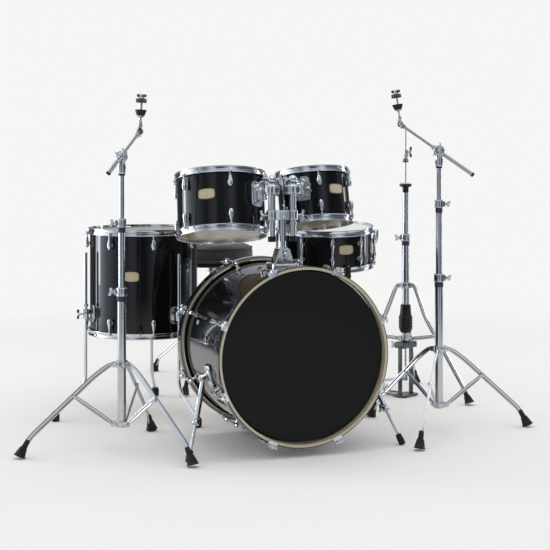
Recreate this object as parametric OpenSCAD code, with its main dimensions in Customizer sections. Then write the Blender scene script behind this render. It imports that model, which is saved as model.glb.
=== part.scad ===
// Acoustic drum kit: five drums, tom holder, two boom cymbal stands, hi-hat stand, pedal and throne.
// Frame: millimetres, +Z up, floor at z = 0, bass drum facing -Y, drummer seated towards +Y.

/* [Bass drum] */
// Outside diameter of the bass drum shell
bass_d = 556; // [500:2:620]
// Length of the bass drum shell
bass_depth = 432; // [350:1:510]
// Height of the bass drum's axis above the floor
bass_height = 325; // [305:1:380]
// Wall of the bass drum shell
bass_wall = 7; // [5:0.5:10]
// Width of each wooden hoop, along the drum
bass_hoop_w = 38; // [30:1:44]
// Thickness of each wooden hoop
bass_hoop_t = 11; // [9:0.5:14]
// Number of tension lugs on each side of the bass drum
bass_lugs_n = 8; // [6:1:10]

/* [Rack toms] */
// Outside diameter of the larger rack tom
tom_a_d = 305; // [280:1:330]
// Shell depth of the larger rack tom
tom_a_depth = 203; // [178:1:229]
// Outside diameter of the smaller rack tom
tom_b_d = 254; // [230:1:280]
// Shell depth of the smaller rack tom
tom_b_depth = 178; // [152:1:203]
// Tilt of the larger rack tom towards the drummer
tom_a_tilt = 12.5; // [5:0.5:16]
// Tilt of the smaller rack tom towards the drummer
tom_b_tilt = 11.5; // [5:0.5:16]
// Wall of the tom shells
tom_wall = 6; // [4:0.5:8]
// Number of lugs at each end of a rack tom
tom_lugs_n = 6; // [5:1:6]

/* [Floor tom] */
// Outside diameter of the floor tom shell
floor_d = 406; // [380:1:430]
// Shell depth of the floor tom
floor_depth = 381; // [340:1:406]
// Height of the middle of the floor tom above the floor
floor_height = 505; // [480:1:530]
// Diameter of the floor tom's leg rods
floor_leg_d = 12.7; // [10:0.1:14]
// How far the floor tom's feet stand out from its axis
floor_leg_r = 350; // [320:1:370]

/* [Snare drum] */
// Outside diameter of the snare drum shell
snare_d = 356; // [330:1:370]
// Shell depth of the snare drum
snare_depth = 140; // [114:1:165]
// Height of the middle of the snare drum above the floor
snare_height = 628; // [600:1:660]
// Number of lugs on the snare drum
snare_lugs_n = 10; // [8:2:10]

/* [Stands] */
// Outside diameter of the lowest tube of a stand
tube_base_d = 28.6; // [25.4:0.1:31.8]
// Outside diameter of the middle tube of a stand
tube_mid_d = 22.2; // [19:0.1:23]
// Outside diameter of the upper tube of a stand
tube_top_d = 15.9; // [14:0.1:17]
// Wall of the stand tubes
tube_wall = 1.6; // [1.2:0.1:2]
// Height of the cymbal stands' sliding leg hub
hub_z = 290; // [270:1:310]
// How far the cymbal stands' feet stand out from the tube
foot_r = 338; // [320:1:360]
// Height of the left stand's lower clamp
left_clamp_z = 497; // [480:1:560]
// Height of the left stand's upper clamp
left_upper_clamp_z = 725; // [690:1:760]
// Height of the left stand's boom tilter
left_tilter_z = 976; // [940:1:1010]
// Height of the right stand's lower clamp
right_clamp_z = 512; // [490:1:560]
// Height of the right stand's upper clamp
right_upper_clamp_z = 775; // [720:1:800]
// Height of the right stand's boom tilter
right_tilter_z = 996; // [960:1:1030]
// Diameter of a boom's front rod
boom_rod_d = 10; // [8:0.5:11]
// Diameter of a boom's rear tube
boom_tube_d = 14; // [12:0.5:15]

/* [Hi-hat stand] */
// Height of the hi-hat stand's leg hub
hat_hub_z = 450; // [430:1:460]
// Height of the hi-hat stand's tube clamp
hat_clamp_z = 612; // [590:1:660]
// Height of the seat that the lower cymbal rests on
hat_seat_z = 862; // [820:1:900]
// Height of the top of the hi-hat's pull rod
hat_rod_top = 1090; // [1040:1:1140]
// Diameter of the hi-hat's pull rod
hat_rod_d = 6.4; // [5:0.1:7]

/* [Throne] */
// Diameter of the seat
seat_d = 375; // [330:1:400]
// Thickness of the seat cushion
seat_h = 88; // [70:1:110]
// Height of the top of the seat
seat_top = 606; // [560:1:640]

/* [Fits] */
// Radial clearance of a shaft or tube that runs in a bore
run_gap = 0.05; // [0.02:0.01:0.1]
// Gap between neighbouring pieces that move past each other
side_gap = 0.3; // [0.2:0.05:0.5]

/* [Hidden] */
$fn = 48;

// Where each unit stands on the floor, measured from the middle of the bass drum's front face.
left_at = [-540, 289, 0];
right_at = [598, 228, 0];
hat_at = [779, 881, 0];
snare_at = [374, 750, 0];
throne_at = [143, 1492, 0];
floor_at = [-305, 909, 0];
holder_y = 217;
tom_a_at = [-160, 400, 804];
tom_b_at = [198, 427, 824];

// Directions of the legs round each unit, in degrees.
left_legs = [178, -62, 58];
right_legs = [-128, -8, 112];
hat_legs = [-60, 56, 177];
snare_legs = [-90, 30, 150];
throne_legs = [-124, -4, 116];
floor_legs = [188, 68, -71];
hat_board_az = 117;

// The part's origin is on the floor under the middle of its overall box.
throne_foot_r = 375;
throne_boot_r = 21;
hat_foot_r = 305;
boot_d = 40;
boot_half = boot_d / 2;
box_left = left_at.x + (foot_r + boot_half) * cos(left_legs[0]);
box_right = max(
  hat_at.x + (hat_foot_r + boot_half) * cos(hat_legs[0]), hat_at.x + (hat_foot_r + boot_half) * cos(hat_legs[1]),
  right_at.x + (foot_r + boot_half) * cos(right_legs[1]));
box_front = right_at.y + foot_r * sin(right_legs[0]) - boot_half;
box_back = throne_at.y + throne_foot_r * sin(throne_legs[2]) + throne_boot_r;
kit_shift = [-(box_left + box_right) / 2, -(box_front + box_back) / 2, 0];

// Hoops, heads and lugs that all steel-hooped drums share.
hoop_up = 10;      // rim above the bearing edge
hoop_down = 13;    // skirt below the bearing edge
hoop_steel = 2;
flesh_w = 4;
head_t = 0.8;
ear_r = 8;
rod_r = 3;
lug_out = 13;      // lug and rod axis from the shell's outer face
lug_r = 8;
lug_len = 38;
lug_drop = 25;     // bearing edge to the near end of the lug

bass_r = bass_d / 2;
bass_over = bass_hoop_w - 16.5;  // hoop beyond the bearing edge
bass_len = bass_depth + 2 * bass_over;
bass_hoop_r = bass_r + 6 + bass_hoop_t;
bass_rod_r = bass_hoop_r + 9;
bass_lug_y = 82;

// Leg, brace and hub sizes that all tripods share.
leg_h = 13;
eye_lip = 0.6;     // how far the round eye at a pivot stands past the strip's edges
leg_t = 6;
brace_t = 5;
pivot_r = 28;
pin_r = 3;
collar_z = 93;
hub_h = 24;
ear_round = 9;
clamp_h = 29;
insert_h = 17;
joint_r = 161;
joint_drop = 97;   // leg pivot down to the brace joint
knee_r = 92;
knee_drop = 35;
ankle_in = 33;     // foot back to the bend above the boot
ankle_z = 64;

function polar(r, a, z = 0) = [r * cos(a), r * sin(a), z];

module at_kit() { translate(kit_shift) children(); }

module along(p, q) {
  v = q - p;
  translate(p) rotate([0, acos(v.z / norm(v)), atan2(v.y, v.x)]) children();
}

module rod(p, q, d) { along(p, q) cylinder(d = d, h = norm(q - p)); }

module ring(outer, inner, h) {
  difference() {
    cylinder(r = outer, h = h);
    translate([0, 0, -1]) cylinder(r = inner, h = h + 2);
  }
}

module wing_bolt(reach = 16, wing = 11) {
  // Screw along +X with two rounded wings.
  rotate([0, 90, 0]) cylinder(r = 3, h = reach);
  translate([reach - 1, 0, 0]) rotate([0, 90, 0]) cylinder(r = 5.5, h = 8);
  translate([reach + 5, 0, 0]) rotate([90, 0, 0])
    linear_extrude(4, center = true) {
      square([7, 2 * wing], center = true);
      for (s = [-1, 1]) translate([2, s * wing]) circle(r = 5.5);
    }
}

// ---- Drums with steel hoops: axis +Z, middle of the shell at the origin ----

module shell(d, depth, wall) {
  r = d / 2;
  edge = wall * 0.7;
  rotate_extrude($fn = 96) polygon([
    [r, -depth / 2], [r, depth / 2], [r - wall + edge, depth / 2], [r - wall, depth / 2 - edge],
    [r - wall, -depth / 2 + edge], [r - wall + edge, -depth / 2]]);
}

module head_up(r, edge) {
  translate([0, 0, edge]) rotate_extrude($fn = 96) polygon([
    [0, 0], [r + 0.2, 0], [r + 0.2, -10], [r + 0.4 + flesh_w, -10], [r + 0.4 + flesh_w, -4],
    [r + 0.2 + head_t, -4], [r + 0.2 + head_t, head_t], [0, head_t]]);
}

module heads(d, depth) {
  head_up(d / 2, depth / 2);
  mirror([0, 0, 1]) head_up(d / 2, depth / 2);
}

module hoop_up_end(d, depth, n, phase) {
  r = d / 2;
  in_low = r + flesh_w + 0.8;
  in_top = r + 1.8;
  translate([0, 0, depth / 2]) difference() {
    union() {
      rotate_extrude($fn = 96) polygon([
        [in_low, -hoop_down], [r + 11, -hoop_down], [r + 11, -hoop_down + hoop_steel],
        [in_low + hoop_steel, -hoop_down + hoop_steel], [in_low + hoop_steel, -2],
        [in_top + hoop_steel, -2], [in_top + hoop_steel, hoop_up - hoop_steel],
        [in_top + 6, hoop_up - hoop_steel], [in_top + 6, hoop_up], [in_top, hoop_up],
        [in_top, -3.7], [in_low, -3.7]]);
      for (i = [0 : n - 1]) rotate(phase + i * 360 / n)
        translate([r + lug_out, 0, -hoop_down + 0.2]) cylinder(r = ear_r, h = hoop_steel - 0.4);
    }
    for (i = [0 : n - 1]) rotate(phase + i * 360 / n)
      translate([r + lug_out, 0, -hoop_down - 1]) cylinder(r = rod_r + 0.3, h = hoop_steel + 2);
  }
}

module hoops(d, depth, n, phase) {
  hoop_up_end(d, depth, n, phase);
  mirror([0, 0, 1]) hoop_up_end(d, depth, n, phase);
}

module lug_body(len) {
  // Teardrop of revolution, narrow end up, with a bore for the tension rod.
  difference() {
    rotate_extrude() polygon([
      [0, -len], [3.5, -len], [6.5, -len * 0.9], [lug_r, -len * 0.68], [lug_r * 0.95, -len * 0.5],
      [6, -len * 0.22], [4.6, 0], [0, 0]]);
    translate([0, 0, -len * 0.6]) cylinder(r = rod_r + 0.1, h = len);
  }
}

module lug_set(d, depth, n, phase, len = lug_len, drop = lug_drop) {
  r = d / 2;
  for (i = [0 : n - 1], m = [0, 1]) mirror([0, 0, m]) rotate(phase + i * 360 / n) {
    translate([r + lug_out, 0, depth / 2 - drop]) lug_body(len);
    translate([r, 0, depth / 2 - drop - len * 0.6]) rotate([0, 90, 0]) {
      cylinder(r = 7, h = 2);
      cylinder(r = 4, h = lug_out - rod_r - 1);
    }
    translate([r + lug_out, 0, depth / 2 - drop - len * 0.5])
      cylinder(r = rod_r, h = drop + len * 0.5 - hoop_down + 4);
    translate([r + lug_out, 0, depth / 2 - hoop_down + hoop_steel + 0.1]) {
      cylinder(r = 5.5, h = 1.5);
      cylinder(r = 3.6, h = 8);
    }
  }
}

module badge(r, az, z) {
  // Cream name plate, left bare.
  rotate(az) translate([r - 0.4, 0, z]) rotate([90, 0, 90]) linear_extrude(1.4) {
    square([44, 20], center = true);
    square([38, 26], center = true);
  }
}

// ---- Bass drum ----

module bass_frame() { translate([0, 0, bass_height]) rotate([-90, 0, 0]) children(); }

module bass_at(i) {
  // Places children at tension point i: +X outwards, +Y down the drum from the front.
  a = 360 / bass_lugs_n * (i + 0.5);
  translate([0, 0, bass_height]) rotate([0, -a, 0]) children();
}

module bass_both_ends() {
  children();
  translate([0, bass_len, 0]) mirror([0, 1, 0]) children();
}

module bass_shell() {
  color("#0c0c10") at_kit() difference() {
    bass_frame() translate([0, 0, bass_len / 2]) shell(bass_d, bass_depth, bass_wall);
    translate([0, bass_len / 2, bass_height]) rotate([0, 90, 0]) cylinder(r = 4, h = bass_d);
    translate([0, holder_y, bass_height]) cylinder(r = post_d / 2 + 1, h = bass_d);
  }
}

module bass_hoops() {
  color("#151515") at_kit() bass_both_ends() bass_frame()
    ring(bass_hoop_r, bass_r + 6, bass_hoop_w, $fn = 96);
}

module bass_heads() {
  color("#1a1a1a") at_kit() bass_both_ends() bass_frame() rotate_extrude($fn = 96) polygon([
    [0, bass_over - head_t], [bass_r + 1.4, bass_over - head_t],
    [bass_r + 1.4, bass_hoop_w + side_gap], [bass_r + 9, bass_hoop_w + side_gap],
    [bass_r + 9, bass_hoop_w + side_gap + 9], [bass_r + 0.4, bass_hoop_w + side_gap + 9],
    [bass_r + 0.4, bass_over], [0, bass_over]]);
}

module bass_lugs() {
  color("silver") at_kit() bass_both_ends() for (i = [0 : bass_lugs_n - 1]) bass_at(i) {
    translate([bass_rod_r, bass_lug_y, 0]) rotate([90, 0, 0]) lug_body(lug_len + 8);
    translate([bass_r, bass_lug_y + 26.5, 0]) rotate([0, 90, 0]) {
      cylinder(r = 8, h = 2.5);
      cylinder(r = 5, h = bass_rod_r - bass_r - rod_r - 1);
    }
  }
}

module bass_claws() {
  claw_w = 26;
  color("silver") at_kit() bass_both_ends() for (i = [0 : bass_lugs_n - 1]) bass_at(i) {
    difference() {
      union() {
        translate([bass_hoop_r + 0.7, -4, -claw_w / 2]) cube([3.5, 30, claw_w]);
        translate([bass_hoop_r - 7, -4, -claw_w / 2]) cube([11, 3.6, claw_w]);
        translate([bass_rod_r, 16, 0]) rotate([90, 0, 0]) cylinder(r = 8, h = 16);
      }
      translate([bass_rod_r, 20, 0]) rotate([90, 0, 0]) cylinder(r = rod_r + 0.3, h = 30);
    }
    translate([bass_rod_r, bass_lug_y + 20, 0]) rotate([90, 0, 0]) cylinder(r = rod_r, h = bass_lug_y + 28);
    translate([bass_rod_r, -0.3, 0]) rotate([90, 0, 0]) cylinder(r = 5.5, h = 4);
    translate([bass_rod_r, -9, 0]) cube([5.5, 9, 22], center = true);
  }
}

spur_a = -15;
spur_y = 175;
spur_pin_out = 24;
function spur_pivot(s) = [
  s * (bass_r + spur_pin_out) * cos(spur_a), spur_y, bass_height + (bass_r + spur_pin_out) * sin(spur_a)];
function spur_foot(s) = [s * 378, 60, 0];
function spur_knee(s) = 0.5 * (spur_foot(s) + spur_pivot(s));

module spur_brackets() {
  color("silver") at_kit() for (s = [-1, 1])
    translate([0, spur_y, bass_height]) rotate([0, s > 0 ? -spur_a : 180 + spur_a, 0]) {
      difference() {
        translate([bass_r - 4, -24, -38]) cube([13, 48, 76]);
        translate([0, -30, 0]) rotate([-90, 0, 0]) cylinder(r = bass_r + 0.05, h = 60, $fn = 96);
      }
      translate([bass_r + 5, 0, 0]) rotate([0, 90, 0]) cylinder(r = 17, h = spur_pin_out - 5 - 13);
      translate([bass_r + 8, 0, 0]) rotate([0, 90, 0]) cylinder(r = 5, h = spur_pin_out + 10);
    }
}

module spur(s) {
  p = spur_pivot(s);
  f = spur_foot(s);
  k = spur_knee(s);
  u = (f - p) / norm(f - p);
  color("silver") at_kit() {
    difference() {
      union() {
        translate(p) rotate([0, s > 0 ? 90 - spur_a : -90 + spur_a, 0]) cylinder(r = 15, h = 25, center = true);
        rod(p + 10 * u, k, 20);
      }
      translate(p) rotate([0, s > 0 ? 90 - spur_a : -90 + spur_a, 0]) cylinder(r = 5 + run_gap, h = 60, center = true);
    }
    rod(k + side_gap * u, k + 16 * u, 25);
    rod(k + 16 * u, f - 12 * u, 10);
    intersection() {
      rod(f - 34 * u, f + 20 * u, 22);
      translate(f + [-60, -60, 0]) cube([120, 120, 90]);
    }
  }
}
module spur_left() { spur(-1); }
module spur_right() { spur(1); }

// ---- Tom holder ----

holder_top = bass_height + bass_r;
holder_h = 61;
post_in = 40;          // the post's end below the top of the bass drum
post_d = 24;
pipe_d = 28;
pipe_half = 38;        // centre post to each pipe
block_z = 777;
pipe_low = 690;
pipe_top = 848;
cap_h = 31;
ball_z = pipe_top + cap_h + 19;
ball_r = 15;
cup_h = 7;

module holder_base() {
  color("silver") at_kit() {
    difference() {
      union() {
        translate([0, holder_y + 25, holder_top]) rotate([90, 0, 0]) linear_extrude(50)
          polygon([[-34, -8], [34, -8], [34, 10], [19, holder_h], [-19, holder_h], [-34, 10]]);
        translate([0, holder_y, holder_top + 1]) cube([92, 76, 18], center = true);
      }
      translate([0, -1, bass_height]) rotate([-90, 0, 0]) cylinder(r = bass_r + 0.05, h = bass_len, $fn = 96);
      translate([0, holder_y, holder_top - 20]) cylinder(d = post_d + 2 * run_gap, h = 120);
    }
    translate([0, holder_y - 22, holder_top + 48]) rotate(-90) wing_bolt(12);
  }
}

module holder_post() {
  color("silver") at_kit() translate([0, holder_y, 0]) {
    translate([0, 0, holder_top - post_in]) cylinder(d = post_d, h = block_z - 16 - holder_top + post_in);
    difference() {
      union() {
        translate([0, 0, block_z]) cube([2 * pipe_half, 30, 34], center = true);
        for (s = [-1, 1]) translate([s * pipe_half, 0, block_z - 17]) cylinder(d = pipe_d + 10, h = 34);
      }
      for (s = [-1, 1]) translate([s * pipe_half, 0, block_z - 20])
        cylinder(d = pipe_d + 2 * run_gap, h = 40);
    }
    translate([0, -15, block_z]) cube([26, 8, 26], center = true);
    for (s = [-1, 1]) translate([s * pipe_half, 0, 0]) {
      translate([0, 0, pipe_low]) ring(pipe_d / 2, pipe_d / 2 - 2.5, pipe_top - pipe_low);
      translate([0, 0, pipe_top]) cylinder(d = 54, h = cap_h);
      difference() {
        translate([0, 0, pipe_top + cap_h]) cylinder(r = 17, h = cup_h);
        translate([0, 0, ball_z]) sphere(r = ball_r + side_gap);
      }
      translate([s * 17, 0, block_z]) rotate(90 - s * 90) wing_bolt(14);
    }
  }
}

// The tilting joint on each pipe: its pin runs square to the way the tom leans.
tom_a_lean = 80;
tom_b_lean = 92;
arm_d = 12.7;
function ball_at(s) = [s * pipe_half, holder_y, ball_z];

function tom_point(at, lean, tilt, p) =
  let (h = p.x * cos(tilt) + p.z * sin(tilt))
  at + [h * cos(lean) - p.y * sin(lean), h * sin(lean) + p.y * cos(lean), p.z * cos(tilt) - p.x * sin(tilt)];

module tom_arm(s, at, d, lean, tilt) {
  // Ball clamp on the pipe, bent arm rod and the cast bracket on the drum's shell.
  b = ball_at(s);
  az = atan2(b.y - at.y, b.x - at.x) - lean;
  out = polar(d / 2 + 22, az);
  elbow_z = (b.z - at.z + out.x * sin(tilt)) / cos(tilt);
  elbow = tom_point(at, lean, tilt, out + [0, 0, elbow_z]);
  color("silver") at_kit() {
    translate(b) rotate(-90) sphere(r = ball_r);
    translate(b) rotate([0, 0, lean + 90 * s]) translate([12, 0, 0]) wing_bolt(10, 10);
    rod(b, elbow, arm_d);
    translate(elbow) sphere(d = arm_d + 3);
    tom_frame(at, lean, tilt) rotate(az) {
      translate([d / 2 + 22, 0, -14]) cylinder(d = arm_d, h = elbow_z + 14);
      difference() {
        union() {
          translate([d / 2 - 3, -22, -14]) cube([12, 44, 66]);
          translate([d / 2 + 5, -15, -4]) cube([28, 30, 40]);
        }
        translate([0, 0, -60]) cylinder(r = d / 2 + 0.05, h = 160, $fn = 96);
        translate([d / 2 + 22, 0, -60]) cylinder(d = arm_d + 2 * run_gap, h = 160);
      }
      translate([d / 2 + 20, 15, 16]) rotate(90) wing_bolt(8, 9);
    }
  }
}

module tom_frame(at, lean, tilt) {
  translate(at) rotate(lean) rotate([0, tilt, 0]) children();
}

tom_a_phase = -96 - tom_a_lean;
tom_b_phase = -102 - tom_b_lean;
module tom_a_place() { at_kit() tom_frame(tom_a_at, tom_a_lean, tom_a_tilt) children(); }
module tom_b_place() { at_kit() tom_frame(tom_b_at, tom_b_lean, tom_b_tilt) children(); }

module tom_a_arm() { tom_arm(-1, tom_a_at, tom_a_d, tom_a_lean, tom_a_tilt); }
module tom_b_arm() { tom_arm(1, tom_b_at, tom_b_d, tom_b_lean, tom_b_tilt); }
module tom_a_shell() {
  color("#0c0c10") tom_a_place() {
    shell(tom_a_d, tom_a_depth, tom_wall);
    badge(tom_a_d / 2, tom_a_phase - 30, 0);
  }
}
module tom_b_shell() {
  color("#0c0c10") tom_b_place() {
    shell(tom_b_d, tom_b_depth, tom_wall);
    badge(tom_b_d / 2, tom_b_phase + 30, 0);
  }
}
module tom_a_hoops() { color("silver") tom_a_place() hoops(tom_a_d, tom_a_depth, tom_lugs_n, tom_a_phase); }
module tom_b_hoops() { color("silver") tom_b_place() hoops(tom_b_d, tom_b_depth, tom_lugs_n, tom_b_phase); }
module tom_a_heads() { color("#c9b99a") tom_a_place() heads(tom_a_d, tom_a_depth); }
module tom_b_heads() { color("#c9b99a") tom_b_place() heads(tom_b_d, tom_b_depth); }
module tom_a_lugs() { color("silver") tom_a_place() lug_set(tom_a_d, tom_a_depth, tom_lugs_n, tom_a_phase); }
module tom_b_lugs() { color("silver") tom_b_place() lug_set(tom_b_d, tom_b_depth, tom_lugs_n, tom_b_phase); }

// ---- Floor tom ----

floor_phase = -95;
floor_leg_out = 30;
floor_bracket_z = -116;
module floor_place() { at_kit() translate(floor_at + [0, 0, floor_height]) children(); }

module floor_tom_shell() {
  color("#0c0c10") floor_place() {
    shell(floor_d, floor_depth, tom_wall);
    badge(floor_d / 2, floor_phase - 22.5, 30);
  }
}
module floor_tom_hoops() { color("silver") floor_place() hoops(floor_d, floor_depth, 8, floor_phase); }
module floor_tom_heads() { color("#c9b99a") floor_place() heads(floor_d, floor_depth); }

module floor_tom_lugs() {
  r = floor_d / 2;
  color("silver") floor_place() {
    lug_set(floor_d, floor_depth, 8, floor_phase);
    for (a = floor_legs) rotate(a) {
      difference() {
        union() {
          translate([r - 3, -20, floor_bracket_z - 30]) cube([11, 40, 60]);
          translate([r + 5, -14, floor_bracket_z - 18]) cube([floor_leg_out - 5, 28, 36]);
          translate([r + floor_leg_out, 0, floor_bracket_z - 18]) cylinder(r = 14, h = 36);
        }
        translate([0, 0, -floor_depth / 2]) cylinder(r = r + 0.05, h = floor_depth, $fn = 96);
        translate([r + floor_leg_out, 0, floor_bracket_z - 40])
          cylinder(d = floor_leg_d + 2 * run_gap, h = 90);
      }
      translate([r + floor_leg_out + 12, 0, floor_bracket_z]) wing_bolt(12, 12);
    }
  }
}

module floor_leg(i) {
  // Straight rod, bent outwards near the floor, with a rubber ball foot.
  r = floor_d / 2 + floor_leg_out;
  bend_z = 118;
  foot_h = 30;
  out = floor_leg_r - r;
  top_z = floor_height + 112;
  color("silver") at_kit() translate(floor_at) rotate(floor_legs[i]) {
    translate([r, 0, bend_z]) cylinder(d = floor_leg_d, h = top_z - bend_z);
    translate([r, 0, bend_z]) sphere(d = floor_leg_d);
    rod([r, 0, bend_z], [r + out - 8, 0, foot_h], floor_leg_d);
    translate([r + out, 0, 0]) {
      cylinder(r1 = 11, r2 = 15, h = 8);
      translate([0, 0, 8]) cylinder(r = 15, h = 18);
      translate([0, 0, 26]) cylinder(r1 = 15, r2 = 9, h = 10);
    }
  }
}
module floor_tom_leg_1() { floor_leg(0); }
module floor_tom_leg_2() { floor_leg(1); }
module floor_tom_leg_3() { floor_leg(2); }

// ---- Snare drum ----

snare_phase = -103.7;
snare_tilt = 4;
snare_tilt_az = -110;
snare_hinge_z = 470;
module snare_place() {
  at_kit() translate(snare_at + [0, 0, snare_height]) rotate(snare_tilt_az) rotate([0, snare_tilt, 0])
    rotate(-snare_tilt_az) children();
}

module snare_shell() {
  color("#0c0c10") snare_place() {
    shell(snare_d, snare_depth, tom_wall);
    badge(snare_d / 2, snare_phase + 18, 8);
  }
}
module snare_hoops() { color("silver") snare_place() hoops(snare_d, snare_depth, snare_lugs_n, snare_phase); }
module snare_heads() { color("#ece8e0") snare_place() heads(snare_d, snare_depth); }

module snare_lugs() {
  // Full-length lugs: one waisted body carries a rod at each end.
  r = snare_d / 2;
  half = snare_depth / 2 - 22;
  color("silver") snare_place() for (i = [0 : snare_lugs_n - 1]) rotate(snare_phase + i * 360 / snare_lugs_n) {
    difference() {
      translate([r + lug_out, 0, 0]) rotate_extrude() polygon([
        [0, -half], [4.6, -half], [7, -half * 0.7], [6.6, -half * 0.5], [3.6, -half * 0.15],
        [3.6, half * 0.15], [6.6, half * 0.5], [7, half * 0.7], [4.6, half], [0, half]]);
      for (m = [0, 1]) mirror([0, 0, m]) translate([r + lug_out, 0, half - 20])
        cylinder(r = rod_r + 0.1, h = 30);
    }
    for (m = [0, 1]) mirror([0, 0, m]) {
      translate([r, 0, half * 0.6]) rotate([0, 90, 0]) {
        cylinder(r = 6.5, h = 2);
        cylinder(r = 3.5, h = lug_out - rod_r - 1);
      }
      translate([r + lug_out, 0, half - 17]) cylinder(r = rod_r, h = snare_depth / 2 - half + 17 - 9);
      translate([r + lug_out, 0, snare_depth / 2 - hoop_down + hoop_steel + 0.1]) {
        cylinder(r = 5.5, h = 1.5);
        cylinder(r = 3.6, h = 8);
      }
    }
  }
}

strainer_az = snare_phase + 90;
module snare_strainer() {
  // Throw-off, butt plate and the band of snare wires under the bottom head.
  r = snare_d / 2;
  low = -snare_depth / 2 - hoop_up + 2;
  color("silver") snare_place() rotate(strainer_az) {
    difference() {
      union() {
        translate([r - 3, -13, -38]) cube([18, 26, 64]);
        rotate(180) translate([r - 3, -13, -34]) cube([14, 26, 30]);
      }
      translate([0, 0, -50]) cylinder(r = r + 0.05, h = 100, $fn = 96);
      translate([r + 10, 0, 14]) rotate([90, 0, 0]) cylinder(r = pin_r + run_gap, h = 60, center = true);
    }
    for (i = [-5 : 5]) translate([0, i * 4, -snare_depth / 2 - head_t - 1.1]) rotate([0, 90, 0])
      cylinder(r = 0.9, h = snare_d - 70, center = true);
    for (s = [-1, 1]) translate([s * (snare_d / 2 - 34), 0, -snare_depth / 2 - head_t - 1.2])
      cube([8, 46, 2], center = true);
  }
}

module strainer_lever() {
  r = snare_d / 2;
  color("silver") snare_place() rotate(strainer_az) {
    translate([r + 10, 0, 14]) rotate([90, 0, 0]) cylinder(r = pin_r, h = 34, center = true);
    for (s = [-1, 1]) translate([r + 6, s * 15.5 - 1.5, 8]) cube([18, 3, 20]);
    translate([r + 21, -17, 18.5]) cube([4, 34, 42]);
  }
}

// ---- Tripods ----

function leg_line(fr, zh, jr, jz) = [
  [pivot_r, zh], [pivot_r + 12, zh + 1], [knee_r, jz + (jr - knee_r) * (jz - ankle_z) / (fr - ankle_in - jr)],
  [fr - ankle_in, ankle_z], [fr - 8, 12]];

function unit(v) = v / norm(v);
function left_of(v) = [-v.y, v.x];

module strip(pts, w) {
  // Flat outline of width w along the points, mitred at each bend, with a round eye at the start.
  n = len(pts);
  dirs = [for (i = [0 : n - 2]) unit(pts[i + 1] - pts[i])];
  mitre = [for (i = [0 : n - 1])
    i == 0 ? left_of(dirs[0]) : i == n - 1 ? left_of(dirs[n - 2])
      : (left_of(dirs[i - 1]) + left_of(dirs[i])) / (1 + dirs[i - 1] * dirs[i])];
  polygon(concat(
    [for (i = [0 : n - 1]) pts[i] + mitre[i] * w / 2], [for (i = [n - 1 : -1 : 0]) pts[i] - mitre[i] * w / 2]));
  translate(pts[0]) circle(d = w + 2 * eye_lip);
}

module upright(t) { rotate([90, 0, 0]) linear_extrude(t, center = true) children(); }

module leg(fr, zh, jr, jz) {
  // Folded-steel leg in its own upright plane, pin bore at the hub, rivet head and rubber boot.
  color("silver") translate([0, (leg_t + side_gap) / 2, 0]) {
    difference() {
      upright(leg_t) strip(leg_line(fr, zh, jr, jz), leg_h);
      translate([pivot_r, 0, zh]) rotate([90, 0, 0]) cylinder(r = pin_r + run_gap, h = 40, center = true);
    }
    translate([jr, leg_t / 2, jz]) rotate([-90, 0, 0]) cylinder(r = 5, h = 1.5);
  }
  color("#141414") difference() {
    intersection() {
      rod_cone([fr - ankle_in + 3, 0, 58], [fr + 4, 0, -8], 9.5, boot_d / 2 + 1);
      translate([0, -60, 0]) cube([fr + boot_d / 2, 120, 100]);
    }
    translate([0, (leg_t + side_gap) / 2, 0])
      upright(leg_t + 0.1) strip(leg_line(fr, zh, jr, jz), leg_h + 0.1);
  }
}

module rod_cone(p, q, r1, r2) { along(p, q) cylinder(r1 = r1, r2 = r2, h = norm(q - p)); }

module brace(jr, jz, cz) {
  color("silver") translate([0, -(brace_t + side_gap) / 2, 0]) {
    difference() {
      upright(brace_t) strip([[pivot_r, cz], [jr, jz]], leg_h);
      translate([pivot_r, 0, cz]) rotate([90, 0, 0]) cylinder(r = pin_r + run_gap, h = 40, center = true);
    }
    translate([jr, -brace_t / 2, jz]) rotate([90, 0, 0]) cylinder(r = 5, h = 1.5);
  }
}

module hub(tube_d, z, legs, t, shift, h = hub_h, gap = run_gap) {
  // Ring on the tube with a forked ear and a pin for each leg or brace.
  ear = t / 2 + side_gap;
  color("silver") translate([0, 0, z]) difference() {
    union() {
      cylinder(r = hub_r, h = h, center = true);
      for (a = legs) rotate(a) translate([0, shift, 0]) {
        for (s = [-1, 1]) translate([0, s * (ear + 1.5), 0]) upright(3) {
          translate([0, 0.5 - ear_round]) square([pivot_r, 2 * ear_round - 1]);
          translate([pivot_r, 0]) circle(r = ear_round);
        }
        translate([pivot_r, 0, 0]) rotate([90, 0, 0]) cylinder(r = pin_r, h = 2 * ear + 10, center = true);
      }
    }
    translate([0, 0, -h]) cylinder(d = tube_d + 2 * gap, h = 2 * h);
  }
}

hub_r = pivot_r - leg_h / 2 - 1.5;
module leg_hub(tube_d, z, legs, wing_az) {
  hub(tube_d, z, legs, leg_t, (leg_t + side_gap) / 2);
  color("silver") rotate(wing_az) translate([hub_r - 1, 0, z]) wing_bolt(12);
}

module brace_collar(tube_d, z, legs) { hub(tube_d, z, legs, brace_t, -(brace_t + side_gap) / 2, 20, -tube_wall / 2); }

module tube(d, z0, z1) { color("silver") translate([0, 0, z0]) ring(d / 2, d / 2 - tube_wall, z1 - z0); }

module insert(outer_d, inner_d, z) {
  // Plastic sleeve in the mouth of a tube, with a collar standing on the tube's end.
  color("#241c3a") translate([0, 0, z]) {
    ring(outer_d / 2 + 1.2, inner_d / 2 + run_gap, insert_h);
    translate([0, 0, -24]) ring(outer_d / 2 - tube_wall - run_gap, inner_d / 2 + run_gap, 24.5);
  }
}

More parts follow.
